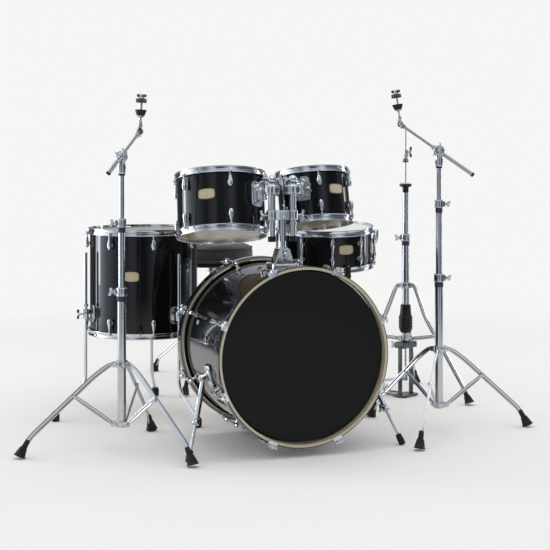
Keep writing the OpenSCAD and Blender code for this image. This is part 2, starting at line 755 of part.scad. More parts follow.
module clamp(outer_d, inner_d, z, wing_az) {
  color("silver") {
    translate([0, 0, z + insert_h]) {
      ring(outer_d / 2 + 3.5, inner_d / 2 + run_gap, clamp_h);
      rotate(wing_az) difference() {
        translate([outer_d / 2 - 2, -8, 5]) cube([12, 16, clamp_h - 10]);
        translate([0, 0, -1]) cylinder(d = outer_d + 1, h = clamp_h + 2);
      }
      rotate(wing_az) translate([outer_d / 2 + 9, 0, clamp_h / 2]) wing_bolt(8, 13);
    }
  }
}

module tripod(tube_d, zh, fr, jr, jz, cz, legs, wing_az) {
  leg_hub(tube_d, zh, legs, wing_az);
  brace_collar(tube_d, cz, legs);
  for (a = legs) rotate(a) {
    leg(fr, zh, jr, jz);
    brace(jr, jz, cz);
  }
}

// ---- Cymbal stands ----

joint_z = hub_z - joint_drop;
left_wing = -122;
right_wing = 52;
module left_place() { at_kit() translate(left_at) children(); }
module right_place() { at_kit() translate(right_at) children(); }

module lower_tube(clamp_z, legs, wing_az) {
  brace_collar(tube_base_d, collar_z, legs);
  tube(tube_base_d, collar_z - 12, clamp_z);
  insert(tube_base_d, tube_mid_d, clamp_z);
  clamp(tube_base_d, tube_mid_d, clamp_z, wing_az);
}

module middle_tube(z0, z1, wing_az) {
  tube(tube_mid_d, z0, z1);
  insert(tube_mid_d, tube_top_d, z1);
  clamp(tube_mid_d, tube_top_d, z1, wing_az);
}

module left_stand_base() { left_place() lower_tube(left_clamp_z, left_legs, 160); }
module left_stand_hub() { left_place() leg_hub(tube_base_d, hub_z, left_legs, left_wing); }
module left_leg(i) { left_place() rotate(left_legs[i]) leg(foot_r, hub_z, joint_r, joint_z); }
module left_leg_1() { left_leg(0); }
module left_leg_2() { left_leg(1); }
module left_leg_3() { left_leg(2); }
module left_brace(i) { left_place() rotate(left_legs[i]) brace(joint_r, joint_z, collar_z); }
module left_brace_1() { left_brace(0); }
module left_brace_2() { left_brace(1); }
module left_brace_3() { left_brace(2); }
module left_stand_mid_tube() { left_place() middle_tube(left_clamp_z - 150, left_upper_clamp_z, 160); }

module right_stand_base() {
  right_place() {
    lower_tube(right_clamp_z, right_legs, -20);
    leg_hub(tube_base_d, hub_z, right_legs, right_wing);
    for (a = right_legs) rotate(a) {
      leg(foot_r, hub_z, joint_r, joint_z);
      brace(joint_r, joint_z, collar_z);
    }
  }
}
module right_stand_mid_tube() { right_place() middle_tube(right_clamp_z - 150, right_upper_clamp_z, -20); }

// The boom tilter: a fixed disc on the top tube and a turning disc with the boom's clamp, face to face.
disc_r = 19;
disc_t = 12;
boom_w = -25;          // boom's axis beside the tube's axis
cone_h = 24;
boom_plane = -20;      // the way the left boom points; the right one points the other way
left_boom_up = 53;
left_boom_len = 104;
left_boom_back = 70;
right_boom_up = 35;
right_boom_len = 165;
right_boom_back = 152;
tilter_drop = 20;

module top_tube(z0, zt) {
  cone_z = zt - disc_r - tilter_drop + 8;
  tube(tube_top_d, z0, cone_z);
  color("#141414") translate([0, 0, cone_z]) cylinder(d = tube_top_d + 4, h = 6);
  color("silver") {
    translate([0, 0, cone_z + 6]) cylinder(r1 = tube_top_d / 2 + 2, r2 = 13, h = zt - disc_r - cone_z - 7);
    difference() {
      union() {
        translate([0, 13, zt]) rotate([90, 0, 0]) cylinder(r = disc_r, h = disc_t);
        translate([-10, 1, zt - disc_r - 4]) cube([20, 11, 14]);
      }
      translate([0, 0, zt]) rotate([90, 0, 0]) cylinder(r = 4 + run_gap, h = 60, center = true);
    }
  }
}

module boom(zt, up, len_front, len_back) {
  // Turning disc, clamp barrel, and the boom: a rod in front and a thicker tube behind.
  color("silver") translate([0, 0, zt]) {
    translate([0, 1 - side_gap, 0]) rotate([90, 0, 0]) cylinder(r = disc_r, h = disc_t);
    rotate([90, 0, 0]) translate([0, 0, -24]) cylinder(r = 4, h = 30);
    translate([0, 14, 0]) rotate([-90, 0, 0]) cylinder(r = 8, h = 8);
    translate([0, 21, 0]) rotate(90) wing_bolt(6, 15);
    rotate([0, -up, 0]) {
      translate([-15, boom_w, 0]) rotate([0, 90, 0]) cylinder(r = boom_tube_d / 2 + 5, h = 30);
      translate([-10, boom_w, -8]) cube([20, -boom_w - disc_t + 3, 16]);
      translate([-len_back, boom_w, 0]) rotate([0, 90, 0]) cylinder(d = boom_tube_d, h = len_back);
      translate([0, boom_w, 0]) rotate([0, 90, 0]) cylinder(d = boom_rod_d, h = len_front - tilt_r - 4);
      translate([4, boom_w - 11, 0]) rotate(-90) wing_bolt(4, 9);
    }
  }
}

// Cymbal tilter at the end of a boom: local origin at its pivot, pin along Y.
tilt_r = 11;
tilt_w = 8;            // thickness of each half
post_h = 72;
post_w = -4.5;
cup_r = 19;
sleeve_r = 4.8;
sleeve_h = 22;
module tilter_fixed(up) {
  // Half disc on the boom's end, joined to the boom's rod.
  half = side_gap / 2;
  difference() {
    union() {
      translate([0, half + tilt_w, 0]) rotate([90, 0, 0]) cylinder(r = tilt_r, h = tilt_w);
      rotate([0, -up, 0]) {
        translate([-tilt_r - 8, half, -6]) cube([tilt_r + 4, tilt_w - 1, 12]);
        translate([-tilt_r - 9, 0, 0]) rotate([0, 90, 0]) cylinder(r = 7.5, h = 7);
      }
    }
    rotate([90, 0, 0]) cylinder(r = pin_r + run_gap, h = 60, center = true);
  }
}

module tilter_moving() {
  half = side_gap / 2;
  color("silver") {
    translate([0, -half, 0]) rotate([90, 0, 0]) cylinder(r = tilt_r, h = tilt_w);
    translate([0, 1, 0]) rotate([90, 0, 0]) cylinder(r = pin_r, h = 23, center = true);
    translate([0, 10, 0]) rotate(90) wing_bolt(2, 8);
    translate([-6, -half - tilt_w, 4]) cube([12, tilt_w, 12]);
    translate([0, post_w, 14]) cylinder(r1 = 8, r2 = 4.5, h = 22);
    translate([0, post_w, 30]) cylinder(r = 4, h = post_h + 12);
    translate([0, post_w, post_h - 26]) cylinder(r1 = 5, r2 = 13, h = 6);
    translate([0, post_w, post_h]) {
      cylinder(r = sleeve_r, h = sleeve_h);
      translate([0, 0, sleeve_h + 13]) cylinder(r = 8, h = 9);
      translate([0, 0, sleeve_h + 20]) upright(5) for (s = [-1, 1]) translate([s * 11, 3]) circle(r = 6);
    }
  }
  color("#161616") translate([0, post_w, post_h]) {
    translate([0, 0, -20]) cylinder(r1 = 13, r2 = cup_r, h = 20);
    translate([0, 0, sleeve_h]) cylinder(r = cup_r - 1, h = 14);
  }
}

function boom_end(up, len_front) = [len_front * cos(up), boom_w, len_front * sin(up)];

module left_top_place() { left_place() rotate(boom_plane) children(); }
module right_top_place() { right_place() rotate(boom_plane + 180) children(); }
module left_stand_top_tube() { left_top_place() top_tube(left_upper_clamp_z - 120, left_tilter_z); }
module right_stand_top_tube() { right_top_place() top_tube(right_upper_clamp_z - 120, right_tilter_z); }
module left_boom() {
  left_top_place() {
    boom(left_tilter_z, left_boom_up, left_boom_len, left_boom_back);
    color("silver") translate([0, 0, left_tilter_z] + boom_end(left_boom_up, left_boom_len))
      tilter_fixed(left_boom_up);
  }
}
left_post_tilt = 3;
module left_cymbal_tilter() {
  left_top_place() translate([0, 0, left_tilter_z] + boom_end(left_boom_up, left_boom_len))
    rotate([0, left_post_tilt, 0]) tilter_moving();
}
right_post_tilt = 8;
module right_boom() {
  right_top_place() {
    boom(right_tilter_z, right_boom_up, right_boom_len, right_boom_back);
    translate([0, 0, right_tilter_z] + boom_end(right_boom_up, right_boom_len)) {
      color("silver") tilter_fixed(right_boom_up);
      rotate([0, right_post_tilt, 0]) tilter_moving();
    }
  }
}

// ---- Hi-hat stand ----

hat_joint_r = 141;
hat_joint_z = 255;
hat_collar_z = 236;
rail_top = 210;
rail_half = 36;
hat_tube_low = 222;
hat_wing = -150;
module hat_place() { at_kit() translate(hat_at) children(); }

module hat_base() {
  hat_place() {
    hub(tube_base_d, hat_hub_z, hat_legs, leg_t, (leg_t + side_gap) / 2);
    color("silver") rotate(hat_wing) translate([hub_r - 1, 0, hat_hub_z]) wing_bolt(12);
    brace_collar(tube_base_d, hat_collar_z, hat_legs);
    for (a = hat_legs) rotate(a) {
      leg(hat_foot_r, hat_hub_z, hat_joint_r, hat_joint_z);
      brace(hat_joint_r, hat_joint_z, hat_collar_z);
    }
    tube(tube_base_d, hat_tube_low, hat_clamp_z);
    insert(tube_base_d, tube_mid_d, hat_clamp_z);
    clamp(tube_base_d, tube_mid_d, hat_clamp_z, 160);
    color("#141414") {
      translate([0, 0, 258]) difference() {
        union() {
          cylinder(r1 = 20, r2 = 27, h = 18);
          translate([0, 0, 18]) cylinder(r = 27, h = 50);
          translate([0, 0, 68]) cylinder(r1 = 23, r2 = 20, h = 46);
        }
        translate([0, 0, -1]) cylinder(d = tube_base_d + 0.1, h = 130);
      }
    }
    color("silver") rotate(hat_board_az) {
      difference() {
        translate([-26, -rail_half - 8, rail_top - 12]) cube([52, 2 * rail_half + 16, 24]);
        translate([0, 0, rail_top - 20]) cylinder(r = 8, h = 40);
      }
      for (s = [-1, 1]) translate([-9, s * rail_half - 4, 10]) cube([18, 8, rail_top - 20]);
      translate([-30, -rail_half - 14, 3]) cube([60, 2 * rail_half + 28, 7]);
      for (s = [-1, 1]) translate([20, s * 30 - 4, 3]) cube([hat_board_len - 20, 8, 5]);
      translate([hat_board_len, -38, 3]) cube([36, 76, 5]);
      for (s = [-1, 1]) translate([hat_board_len, s * 35 - 3, 5]) cube([16, 6, 20]);
      translate([hat_board_len + 8, 0, 19]) rotate([90, 0, 0]) cylinder(r = pin_r, h = 76, center = true);
    }
    color("#141414") rotate(hat_board_az) for (x = [-20, hat_board_len + 26], s = [-1, 1])
      translate([x, s * 32, 0]) cylinder(r = 7, h = 3);
  }
}

hat_board_len = 250;
module board(len, w0, w1, rise) {
  // Footboard from its heel pin at the origin towards -X, rising to the toe; bored for the pin.
  a = asin(rise / len);
  difference() {
    rotate([0, a, 0]) union() {
      translate([0, 0, 2]) linear_extrude(6) polygon([
        [4, -w0 / 2], [4, w0 / 2], [-len * 0.4, w1 / 2], [-len, w1 / 2 - 6], [-len, -w1 / 2 + 6],
        [-len * 0.4, -w1 / 2]]);
      rotate([90, 0, 0]) cylinder(r = 8, h = w0, center = true);
    }
    rotate([90, 0, 0]) cylinder(r = pin_r + run_gap, h = 200, center = true);
  }
}

hat_rise = 46;
hat_toe = [hat_board_len + 8 - sqrt(pow(hat_board_len - 2, 2) - pow(hat_rise, 2)), 0, 19 + hat_rise];
link_r = 2.5;
module hat_footboard() {
  // The toe ends in a slotted tongue that the pull rod's fork holds.
  color("silver") hat_place() rotate(hat_board_az) {
    translate([hat_board_len + 8, 0, 19]) board(hat_board_len - 2, 60, 62, hat_rise);
    difference() {
      translate([-8, -3.5, hat_toe.z - 2]) cube([hat_toe.x + 18, 7, 16]);
      translate([2.4, 0, hat_toe.z + 6]) upright(20) {
        square([9, 2 * link_r + 1.4], center = true);
        for (s = [-1, 1]) translate([s * 4.5, 0]) circle(r = link_r + 0.7);
      }
      translate([-20, -10, hat_toe.z - 12]) cube([20 + hat_toe.x, 20, 8]);
    }
  }
}

clutch_z = 962;
module hat_rod() {
  color("silver") hat_place() {
    translate([0, 0, 96]) cylinder(d = hat_rod_d, h = hat_rod_top - 96);
    rotate(hat_board_az) {
      translate([-5, -7.5, hat_toe.z + 20]) cube([10, 15, 12]);
      for (s = [-1, 1]) translate([-5, s * 5.75 - 1.75, hat_toe.z - 1]) cube([10, 3.5, 24]);
      translate([0, 0, hat_toe.z + 6]) rotate([90, 0, 0]) cylinder(r = link_r, h = 14, center = true);
    }
    difference() {
      translate([0, 0, clutch_z]) {
        cylinder(r = 8, h = 38);
        translate([0, 0, 12]) cylinder(r = 11, h = 8);
        rotate(-20) translate([7, 0, 28]) wing_bolt(6, 10);
      }
      translate([0, 0, clutch_z - 10]) cylinder(d = hat_rod_d + 2 * run_gap, h = 80);
    }
  }
  color("#161616") hat_place() translate([0, 0, clutch_z - 14])
    ring(12, hat_rod_d / 2 + run_gap, 13.5);
}

module hat_tube() {
  hat_place() {
    tube(tube_mid_d, hat_clamp_z - 180, hat_seat_z - 36);
    color("#141414") difference() {
      union() {
        translate([0, 0, hat_seat_z - 36]) cylinder(r = 11, h = 20);
        translate([0, 0, hat_seat_z - 18]) cylinder(r1 = 14, r2 = 21, h = 8);
        translate([0, 0, hat_seat_z - 10]) cylinder(r = 21, h = 8);
      }
      translate([0, 0, hat_seat_z - 60]) cylinder(d = hat_rod_d + 1.2, h = 80);
    }
    color("#d8d4cc") translate([0, 0, hat_seat_z - 2]) ring(19, hat_rod_d / 2 + 0.6, 6);
  }
}

// ---- Snare stand ----

snare_stand_foot = 235;
snare_stand_hub = 250;
snare_stand_top = 436;
module snare_stand_place() { at_kit() translate(snare_at) children(); }

module snare_stand_base() {
  snare_stand_place() {
    tripod(tube_base_d, snare_stand_hub, snare_stand_foot, 120, 150, 76, snare_legs, 90);
    tube(tube_base_d, 66, 330);
    insert(tube_base_d, tube_mid_d, 330);
    clamp(tube_base_d, tube_mid_d, 330, -30);
    tube(tube_mid_d, 200, snare_stand_top);
    color("silver") difference() {
      union() {
        translate([0, 0, snare_stand_top]) cylinder(r = 13, h = 14);
        rotate(snare_tilt_az) {
          for (s = [-1, 1]) translate([-13, s * 13.5 - 3, snare_stand_top + 8]) cube([26, 6, 38]);
          translate([-13, -16, snare_stand_top + 4]) cube([26, 32, 8]);
        }
      }
      translate([0, 0, snare_hinge_z]) rotate(snare_tilt_az) rotate([90, 0, 0])
        cylinder(r = 5 + run_gap, h = 60, center = true);
    }
  }
}

basket_phase = snare_phase + 18;
module snare_stand_basket() {
  // Tilting cradle: hub block, screw, and three arms whose padded tips hold the bottom hoop.
  tip_r = snare_d / 2 + 13;
  color("#1a1a1c") {
    snare_stand_place() rotate(snare_tilt_az) {
      translate([-10, -10, snare_hinge_z - 14]) cube([20, 20, 56]);
      translate([0, 0, snare_hinge_z]) rotate([90, 0, 0]) cylinder(r = 5, h = 40, center = true);
    }
    snare_place() {
      translate([0, 0, -snare_height + snare_hinge_z + 34]) cylinder(r = 22, h = 12);
      for (i = [0 : 2]) rotate(basket_phase + i * 120) {
        rod([12, 0, -snare_height + snare_hinge_z + 40], [tip_r + 2, 0, -snare_depth / 2 - 22], 11);
        translate([tip_r + 2, 0, -snare_depth / 2 - 22]) sphere(d = 11.5);
        difference() {
          union() {
            translate([tip_r + 2, 0, -snare_depth / 2 - 22]) cylinder(d = 11, h = 44);
            translate([tip_r - 12, -8, -snare_depth / 2 - 28]) cube([20, 16, 46]);
          }
          translate([0, 0, -snare_depth / 2 - hoop_up - side_gap])
            cylinder(r = snare_d / 2 + 11 + side_gap, h = 80, $fn = 96);
        }
      }
    }
  }
}

// ---- Throne ----

module throne_place() { at_kit() translate(throne_at) children(); }
throne_board = seat_top - seat_h - 14;

module throne_base() {
  throne_place() {
    tripod(tube_base_d, 270, throne_foot_r, 175, 178, 84, throne_legs, -60);
    tube(tube_base_d, 72, 380);
    insert(tube_base_d, tube_mid_d, 380);
    clamp(tube_base_d, tube_mid_d, 380, 60);
    color("silver") translate([0, 0, 250]) cylinder(d = tube_mid_d, h = throne_board - 30 - 250);
    color("silver") translate([0, 0, throne_board - 34]) cylinder(r = 8, h = 30);
  }
}

module throne_seat() {
  throne_place() {
    color("silver") difference() {
      union() {
        translate([0, 0, throne_board - 29.5]) cylinder(r = 16, h = 30);
        translate([0, 0, throne_board - 5]) cylinder(r = 60, h = 5);
      }
      translate([0, 0, throne_board - 40]) cylinder(r = 8 + run_gap, h = 38);
    }
    color("#c8a878") translate([0, 0, throne_board]) cylinder(d = seat_d - 30, h = 14, $fn = 96);
    color("#26262a") translate([0, 0, throne_board + 14]) rotate_extrude($fn = 96) polygon([
      [0, 0], [seat_d / 2 - 14, 0], [seat_d / 2 - 3, 8], [seat_d / 2, 22], [seat_d / 2, seat_h - 30],
      [seat_d / 2 - 5, seat_h - 12], [seat_d / 2 - 22, seat_h - 2], [seat_d / 2 - 60, seat_h], [0, seat_h]]);
  }
}

// ---- Bass drum pedal ----

pedal_y = bass_len + 38;
pedal_axle_z = 104;
pedal_board_len = 262;
pedal_heel_y = pedal_y + pedal_board_len + 10;
beater_back = 40;
beater_len = 205;
module pedal_place() { at_kit() children(); }

module pedal_frame() {
  hoop_low = bass_height - bass_hoop_r;
  pedal_place() {
    color("silver") {
      translate([-45, pedal_y - 20, 3]) cube([90, 44, 6]);
      translate([-34, pedal_y + 20, 3]) cube([68, pedal_board_len + 14, 4]);
      translate([-18, bass_len - 24, 9]) cube([36, 44, 8]);
      translate([-18, bass_len - 24, 16]) cube([36, 22, hoop_low - 16 - side_gap]);
      translate([-14, bass_len - 20, hoop_low + bass_hoop_t + 1]) cube([28, 34, 6]);
      translate([-14, bass_len + 4, 12]) cube([28, 10, hoop_low + bass_hoop_t - 10]);
      for (s = [-1, 1]) difference() {
        translate([s * 38 - 4, pedal_y - 11, 8]) cube([8, 22, pedal_axle_z + 4]);
        translate([0, pedal_y, pedal_axle_z]) rotate([0, 90, 0]) cylinder(r = 5 + run_gap, h = 120, center = true);
      }
      for (s = [-1, 1]) translate([s * 35 - 3, pedal_heel_y - 8, 6]) cube([6, 16, 20]);
      translate([0, pedal_heel_y, 19]) rotate([0, 90, 0]) cylinder(r = pin_r, h = 76, center = true);
      translate([49, pedal_y + 6, 26]) cylinder(r = 6, h = 58);
      translate([38, pedal_y, 24]) cube([18, 12, 5]);
    }
    color("#141414") for (x = [-36, 36], y = [pedal_y - 10, pedal_heel_y])
      translate([x, y, 0]) cylinder(r = 8, h = 3);
  }
}

module pedal_footboard() {
  color("silver") pedal_place() translate([0, pedal_heel_y, 19]) rotate(90) {
    board(pedal_board_len - 2, 60, 62, 44);
    translate([-pedal_board_len + 9, -4, 46]) cube([9, 8, 6]);
    translate([22.5 - pedal_board_len - 10, -4, 46]) cube([3, 8, 34]);
  }
}

module pedal_beater() {
  head_r = 26;
  color("silver") pedal_place() translate([0, pedal_y, pedal_axle_z]) {
    rotate([0, 90, 0]) cylinder(r = 5, h = 112, center = true);
    rotate([0, 90, 0]) cylinder(r = 22, h = 14, center = true);
    rotate([-beater_back, 0, 0]) {
      cylinder(r = 3.5, h = beater_len);
      translate([-8, -8, 16]) cube([16, 16, 18]);
      translate([0, 0, beater_len]) rotate([90, 0, 0]) cylinder(r = 20, h = 36, center = true);
    }
  }
  color("#d9d4c6") pedal_place() translate([0, pedal_y, pedal_axle_z]) rotate([-beater_back, 0, 0])
    translate([0, -18, beater_len]) rotate([90, 0, 0]) cylinder(r = head_r, h = 14);
}

bass_shell();
bass_hoops();
bass_heads();
bass_lugs();
bass_claws();
spur_brackets();
spur_left();
spur_right();
holder_base();
holder_post();
tom_a_arm();
tom_a_shell();
tom_a_hoops();
tom_a_heads();
tom_a_lugs();
tom_b_arm();
tom_b_shell();
tom_b_hoops();
tom_b_heads();
tom_b_lugs();
floor_tom_shell();
floor_tom_hoops();
floor_tom_heads();
floor_tom_lugs();
floor_tom_leg_1();
floor_tom_leg_2();
floor_tom_leg_3();
snare_shell();
snare_hoops();
snare_heads();
snare_lugs();
snare_strainer();
strainer_lever();
snare_stand_base();
snare_stand_basket();
hat_base();
hat_tube();
hat_rod();
hat_footboard();
throne_base();
throne_seat();
pedal_frame();
pedal_footboard();
pedal_beater();
left_stand_base();
left_stand_hub();
left_leg_1();
left_leg_2();
left_leg_3();
left_brace_1();
left_brace_2();
left_brace_3();
left_stand_mid_tube();
left_stand_top_tube();
left_boom();
left_cymbal_tilter();
right_stand_base();
right_stand_mid_tube();
right_stand_top_tube();
right_boom();
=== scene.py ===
import math
from types import SimpleNamespace

import bpy
import numpy as np
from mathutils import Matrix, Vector


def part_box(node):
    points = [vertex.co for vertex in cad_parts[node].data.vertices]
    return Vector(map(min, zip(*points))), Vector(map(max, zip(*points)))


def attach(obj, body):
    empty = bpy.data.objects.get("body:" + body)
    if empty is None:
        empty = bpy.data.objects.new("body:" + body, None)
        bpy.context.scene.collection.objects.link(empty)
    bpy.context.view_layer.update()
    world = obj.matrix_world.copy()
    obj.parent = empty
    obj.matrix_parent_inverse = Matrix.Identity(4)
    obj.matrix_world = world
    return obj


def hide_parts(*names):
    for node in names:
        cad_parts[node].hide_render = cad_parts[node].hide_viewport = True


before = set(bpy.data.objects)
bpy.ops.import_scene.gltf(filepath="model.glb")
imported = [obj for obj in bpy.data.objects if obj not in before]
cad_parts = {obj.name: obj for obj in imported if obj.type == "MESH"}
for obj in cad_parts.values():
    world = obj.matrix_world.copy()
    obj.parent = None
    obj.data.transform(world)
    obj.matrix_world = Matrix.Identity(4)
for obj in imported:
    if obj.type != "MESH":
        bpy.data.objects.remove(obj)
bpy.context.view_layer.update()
print("frame loaded")

mm = 0.001
hoopLow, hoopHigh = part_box("bass_hoops")
kitOrigin = np.array([(hoopLow.x + hoopHigh.x) / 2 / mm, hoopLow.y / mm, 0.0])
creaseAngle = 50
sides = (-1, 1)


def rad(degrees):
    return degrees * math.pi / 180


def unit(v):
    return np.asarray(v, float) / np.linalg.norm(v)


def polar(radius, angle, z=0.0):
    return np.array([radius * math.cos(rad(angle)), radius * math.sin(rad(angle)), z])


# Placing steps are four by four matrices, read from the outside in.
def move(x=0.0, y=0.0, z=0.0):
    m = np.eye(4)
    m[:3, 3] = x, y, z
    return m


def turn(axis, degrees):
    c, s, i = math.cos(rad(degrees)), math.sin(rad(degrees)), "xyz".index(axis)
    m, j, k = np.eye(4), (i + 1) % 3, (i + 2) % 3
    m[j, j], m[j, k], m[k, j], m[k, k] = c, -s, s, c
    return m


def mirror(axis):
    m = np.eye(4)
    m["xyz".index(axis), "xyz".index(axis)] = -1
    return m


def aim(p, q):
    # Puts +Z on the line from p to q, starting at p.
    z = unit(np.subtract(q, p))
    x = unit(np.cross((0, 1, 0) if abs(z[1]) < 0.9 else (1, 0, 0), z))
    m = np.eye(4)
    m[:3, 0], m[:3, 1], m[:3, 2], m[:3, 3] = x, np.cross(z, x), z, p
    return m


def chain(*steps):
    m = np.eye(4)
    for step in steps:
        m = m @ step
    return m


def through(m, p):
    return m[:3, :3] @ np.asarray(p, float) + m[:3, 3]


standing = turn("x", 90)  # takes a flat outline's y to z and its thickness to -y
alongX = turn("y", 90)
alongY = turn("x", -90)


# A shape is (points, quads, caps), and always a closed surface.
def surface(grid, loop=False):
    # A quad between each four neighbours of a grid of closed rings; the first and last rings
    # get a flat cap, or are joined to each other. A negative volume means inside out: the
    # volume is the sum over the faces of a corner times the cross product of the next two.
    rows, columns = grid.shape[:2]
    i = np.arange(rows if loop else rows - 1)[:, None]
    j = np.arange(columns)[None]
    k, n = (j + 1) % columns, (i + 1) % rows
    corners = [i * columns + j, i * columns + k, n * columns + k, n * columns + j]
    quads = np.stack(corners, -1).reshape(-1, 4)
    caps = [] if loop else [np.arange(columns)[::-1], np.arange((rows - 1) * columns, rows * columns)]
    points = np.asarray(grid, float).reshape(-1, 3)
    fans = [np.column_stack([np.full(columns - 2, c[0]), c[1:-1], c[2:]]) for c in caps]
    p = (points - points.mean(0))[np.vstack([quads[:, :3], quads[:, [0, 2, 3]], *fans])]
    if np.einsum("ij,ij->", p[:, 0], np.cross(p[:, 1], p[:, 2])) < 0:
        quads, caps = quads[:, ::-1], [c[::-1] for c in caps]
    return points, quads, caps


def placed(shape, *steps):
    points, quads, caps = shape
    m = chain(*steps)
    if np.linalg.det(m[:3, :3]) < 0:
        quads, caps = quads[:, ::-1], [c[::-1] for c in caps]
    return points @ m[:3, :3].T + m[:3, 3], quads, caps


def atEach(shapes, *steps):
    return [placed(shape, *steps) for shape in shapes]


def joined(*shapes):
    starts = np.cumsum([0] + [len(s[0]) for s in shapes])
    return (
        np.vstack([s[0] for s in shapes]),
        np.vstack([s[1] + n for s, n in zip(shapes, starts)]),
        [c + n for s, n in zip(shapes, starts) for c in s[2]],
    )


def mirrored(points, x=1, y=1):
    # The points, then the same in reverse order with the sign of one coordinate changed. A last
    # point on the mirror line isn't repeated.
    p = np.array(points, float)
    back = p[::-1] * (x, y)
    return np.concatenate([p, back[1:] if np.array_equal(back[0], p[-1]) else back])


def softened(points, radius, steps=4, loop=False):
    # Each corner becomes a quadratic curve that leaves the sides a radius away from it.
    p = [np.asarray(q, float) for q in points]
    t = np.linspace(0, 1, steps + 1)[:, None]
    out = []
    for i, b in enumerate(p):
        if not loop and i in (0, len(p) - 1):
            out.append(b)
            continue
        a, c = p[i - 1], p[(i + 1) % len(p)]
        s = b + (a - b) * min(radius / np.linalg.norm(a - b), 0.49)
        e = b + (c - b) * min(radius / np.linalg.norm(c - b), 0.49)
        out += list((1 - t) ** 2 * s + 2 * t * (1 - t) * b + t**2 * e)
    return np.array(out)


def circle(radius, count=24):
    a = np.arange(count) * 2 * math.pi / count
    return np.column_stack([radius * np.cos(a), radius * np.sin(a)])


def lathe(profile, count=36, loop=False):
    # Each (radius, height) of the profile becomes a ring round Z.
    p = np.asarray(profile, float)
    a = np.arange(count) * 2 * math.pi / count
    rings = [p[:, :1] * np.cos(a), p[:, :1] * np.sin(a), np.repeat(p[:, 1:], count, 1)]
    return surface(np.stack(rings, -1), loop)


def spun(profile, radius, steps, count, *places, loop=False):
    return placed(lathe(softened(profile, radius, steps, loop), count, loop), *places)


def disc(radius, low, high, edge=0.6, count=36):
    return lathe([(radius - edge, low), (radius, low + edge), (radius, high - edge), (radius - edge, high)], count)


def rod(p, q, radius, count=24, edge=0.5):
    return placed(disc(radius, 0, np.linalg.norm(np.subtract(q, p)), min(edge, radius * 0.3), count), aim(p, q))


def ring(outer, inner, low, high, edge=0.5, count=48):
    e = min(edge, (outer - inner) * 0.3)
    return lathe([(inner, low + e), (inner + e, low), (outer - e, low), (outer, low + e), (outer, high - e),
                  (outer - e, high), (inner + e, high), (inner, high - e)], count, True)


def sweep(path, section, side=None, scale=None, loop=False):
    # The flat section carried along the path: a ring is the path's point plus the section's two
    # coordinates along the two directions square to the path. Side fixes the second of them.
    path, section = np.asarray(path, float), np.asarray(section, float)
    t = np.roll(path, -1, 0) - np.roll(path, 1, 0) if loop else np.gradient(path, axis=0)
    t /= np.linalg.norm(t, axis=1)[:, None]
    if side is not None:
        n = np.cross(side, t)
        n /= np.linalg.norm(n, axis=1)[:, None]
    else:
        n = [unit(np.cross(t[0], (0.31, 0.47, 0.83)))]
        for step in t[1:]:
            n.append(unit(n[-1] - step * np.dot(n[-1], step)))
        n = np.array(n)
    b = np.cross(t, n)
    s = np.broadcast_to(section, (len(path), len(section), 2))
    if scale is not None:
        s = s * np.asarray(scale, float).reshape(len(path), 1, -1)
    return surface(path[:, None] + s[..., :1] * n[:, None] + s[..., 1:] * b[:, None], loop)


def tube(points, radius, bend, count, steps=8):
    return sweep(softened(points, bend, steps), circle(radius, count))


def prism(outline, low, high, edge=0.6):
    # A flat outline given a thickness, its rims chamfered by moving each corner inwards.
    o = np.asarray(outline, float)
    if np.sum(o[:, 0] * np.roll(o[:, 1], -1) - np.roll(o[:, 0], -1) * o[:, 1]) < 0:
        o = o[::-1]
    d = np.roll(o, -1, 0) - o
    d /= np.linalg.norm(d, axis=1)[:, None]
    n = np.column_stack([-d[:, 1], d[:, 0]])
    m = n + np.roll(n, 1, 0)
    inner = o + edge * m / np.maximum(1 + np.sum(n * np.roll(n, 1, 0), 1), 0.5)[:, None]
    rims = [(inner, low), (o, low + edge), (o, high - edge), (inner, high)]
    return surface(np.stack([np.column_stack([rim, np.full(len(o), z)]) for rim, z in rims]))


def cut(outline, radius, steps, low, high, edge, *places):
    return placed(prism(softened(outline, radius, steps, True), low, high, edge), *places)


def rounded(width, height, radius, centre=(0, 0), steps=3):
    w, h = width / 2, height / 2
    return softened([np.add(c, centre) for c in ((w, h), (-w, h), (-w, -h), (w, -h))], radius, steps, True)


def block(low, high, radius=1.5, edge=0.6):
    low, high = np.minimum(low, high), np.maximum(low, high)
    w, h, t = high - low
    outline = rounded(w, h, min(radius, w * 0.4, h * 0.4), ((low + high) / 2)[:2])
    return prism(outline, low[2], high[2], min(edge, t * 0.3, w * 0.2, h * 0.2))


def wingBolt(reach, wing, *places):
    # A screw along +X with a turned boss and two rounded wings.
    x = reach
    outline = mirrored([(x + 1, -4), (x + 1.5, -wing - 3), (x + 5, -wing - 5.5), (x + 11, -wing - 4.5),
                        (x + 12.5, -wing + 1), (x + 9.5, -5), (x + 8, 0)], y=-1)
    boss = [(3, x - 3), (6, x - 1.5), (6.4, x + 1), (4.6, x + 7.5), (2.5, x + 9)]
    bolt = [rod((0, 0, 0), (x, 0, 0), 3, 16), spun(boss, 1.5, 3, 24, alongX),
            cut(outline, 3.5, 4, -2, 2, 0.9, standing)]
    return placed(joined(*bolt), *places)


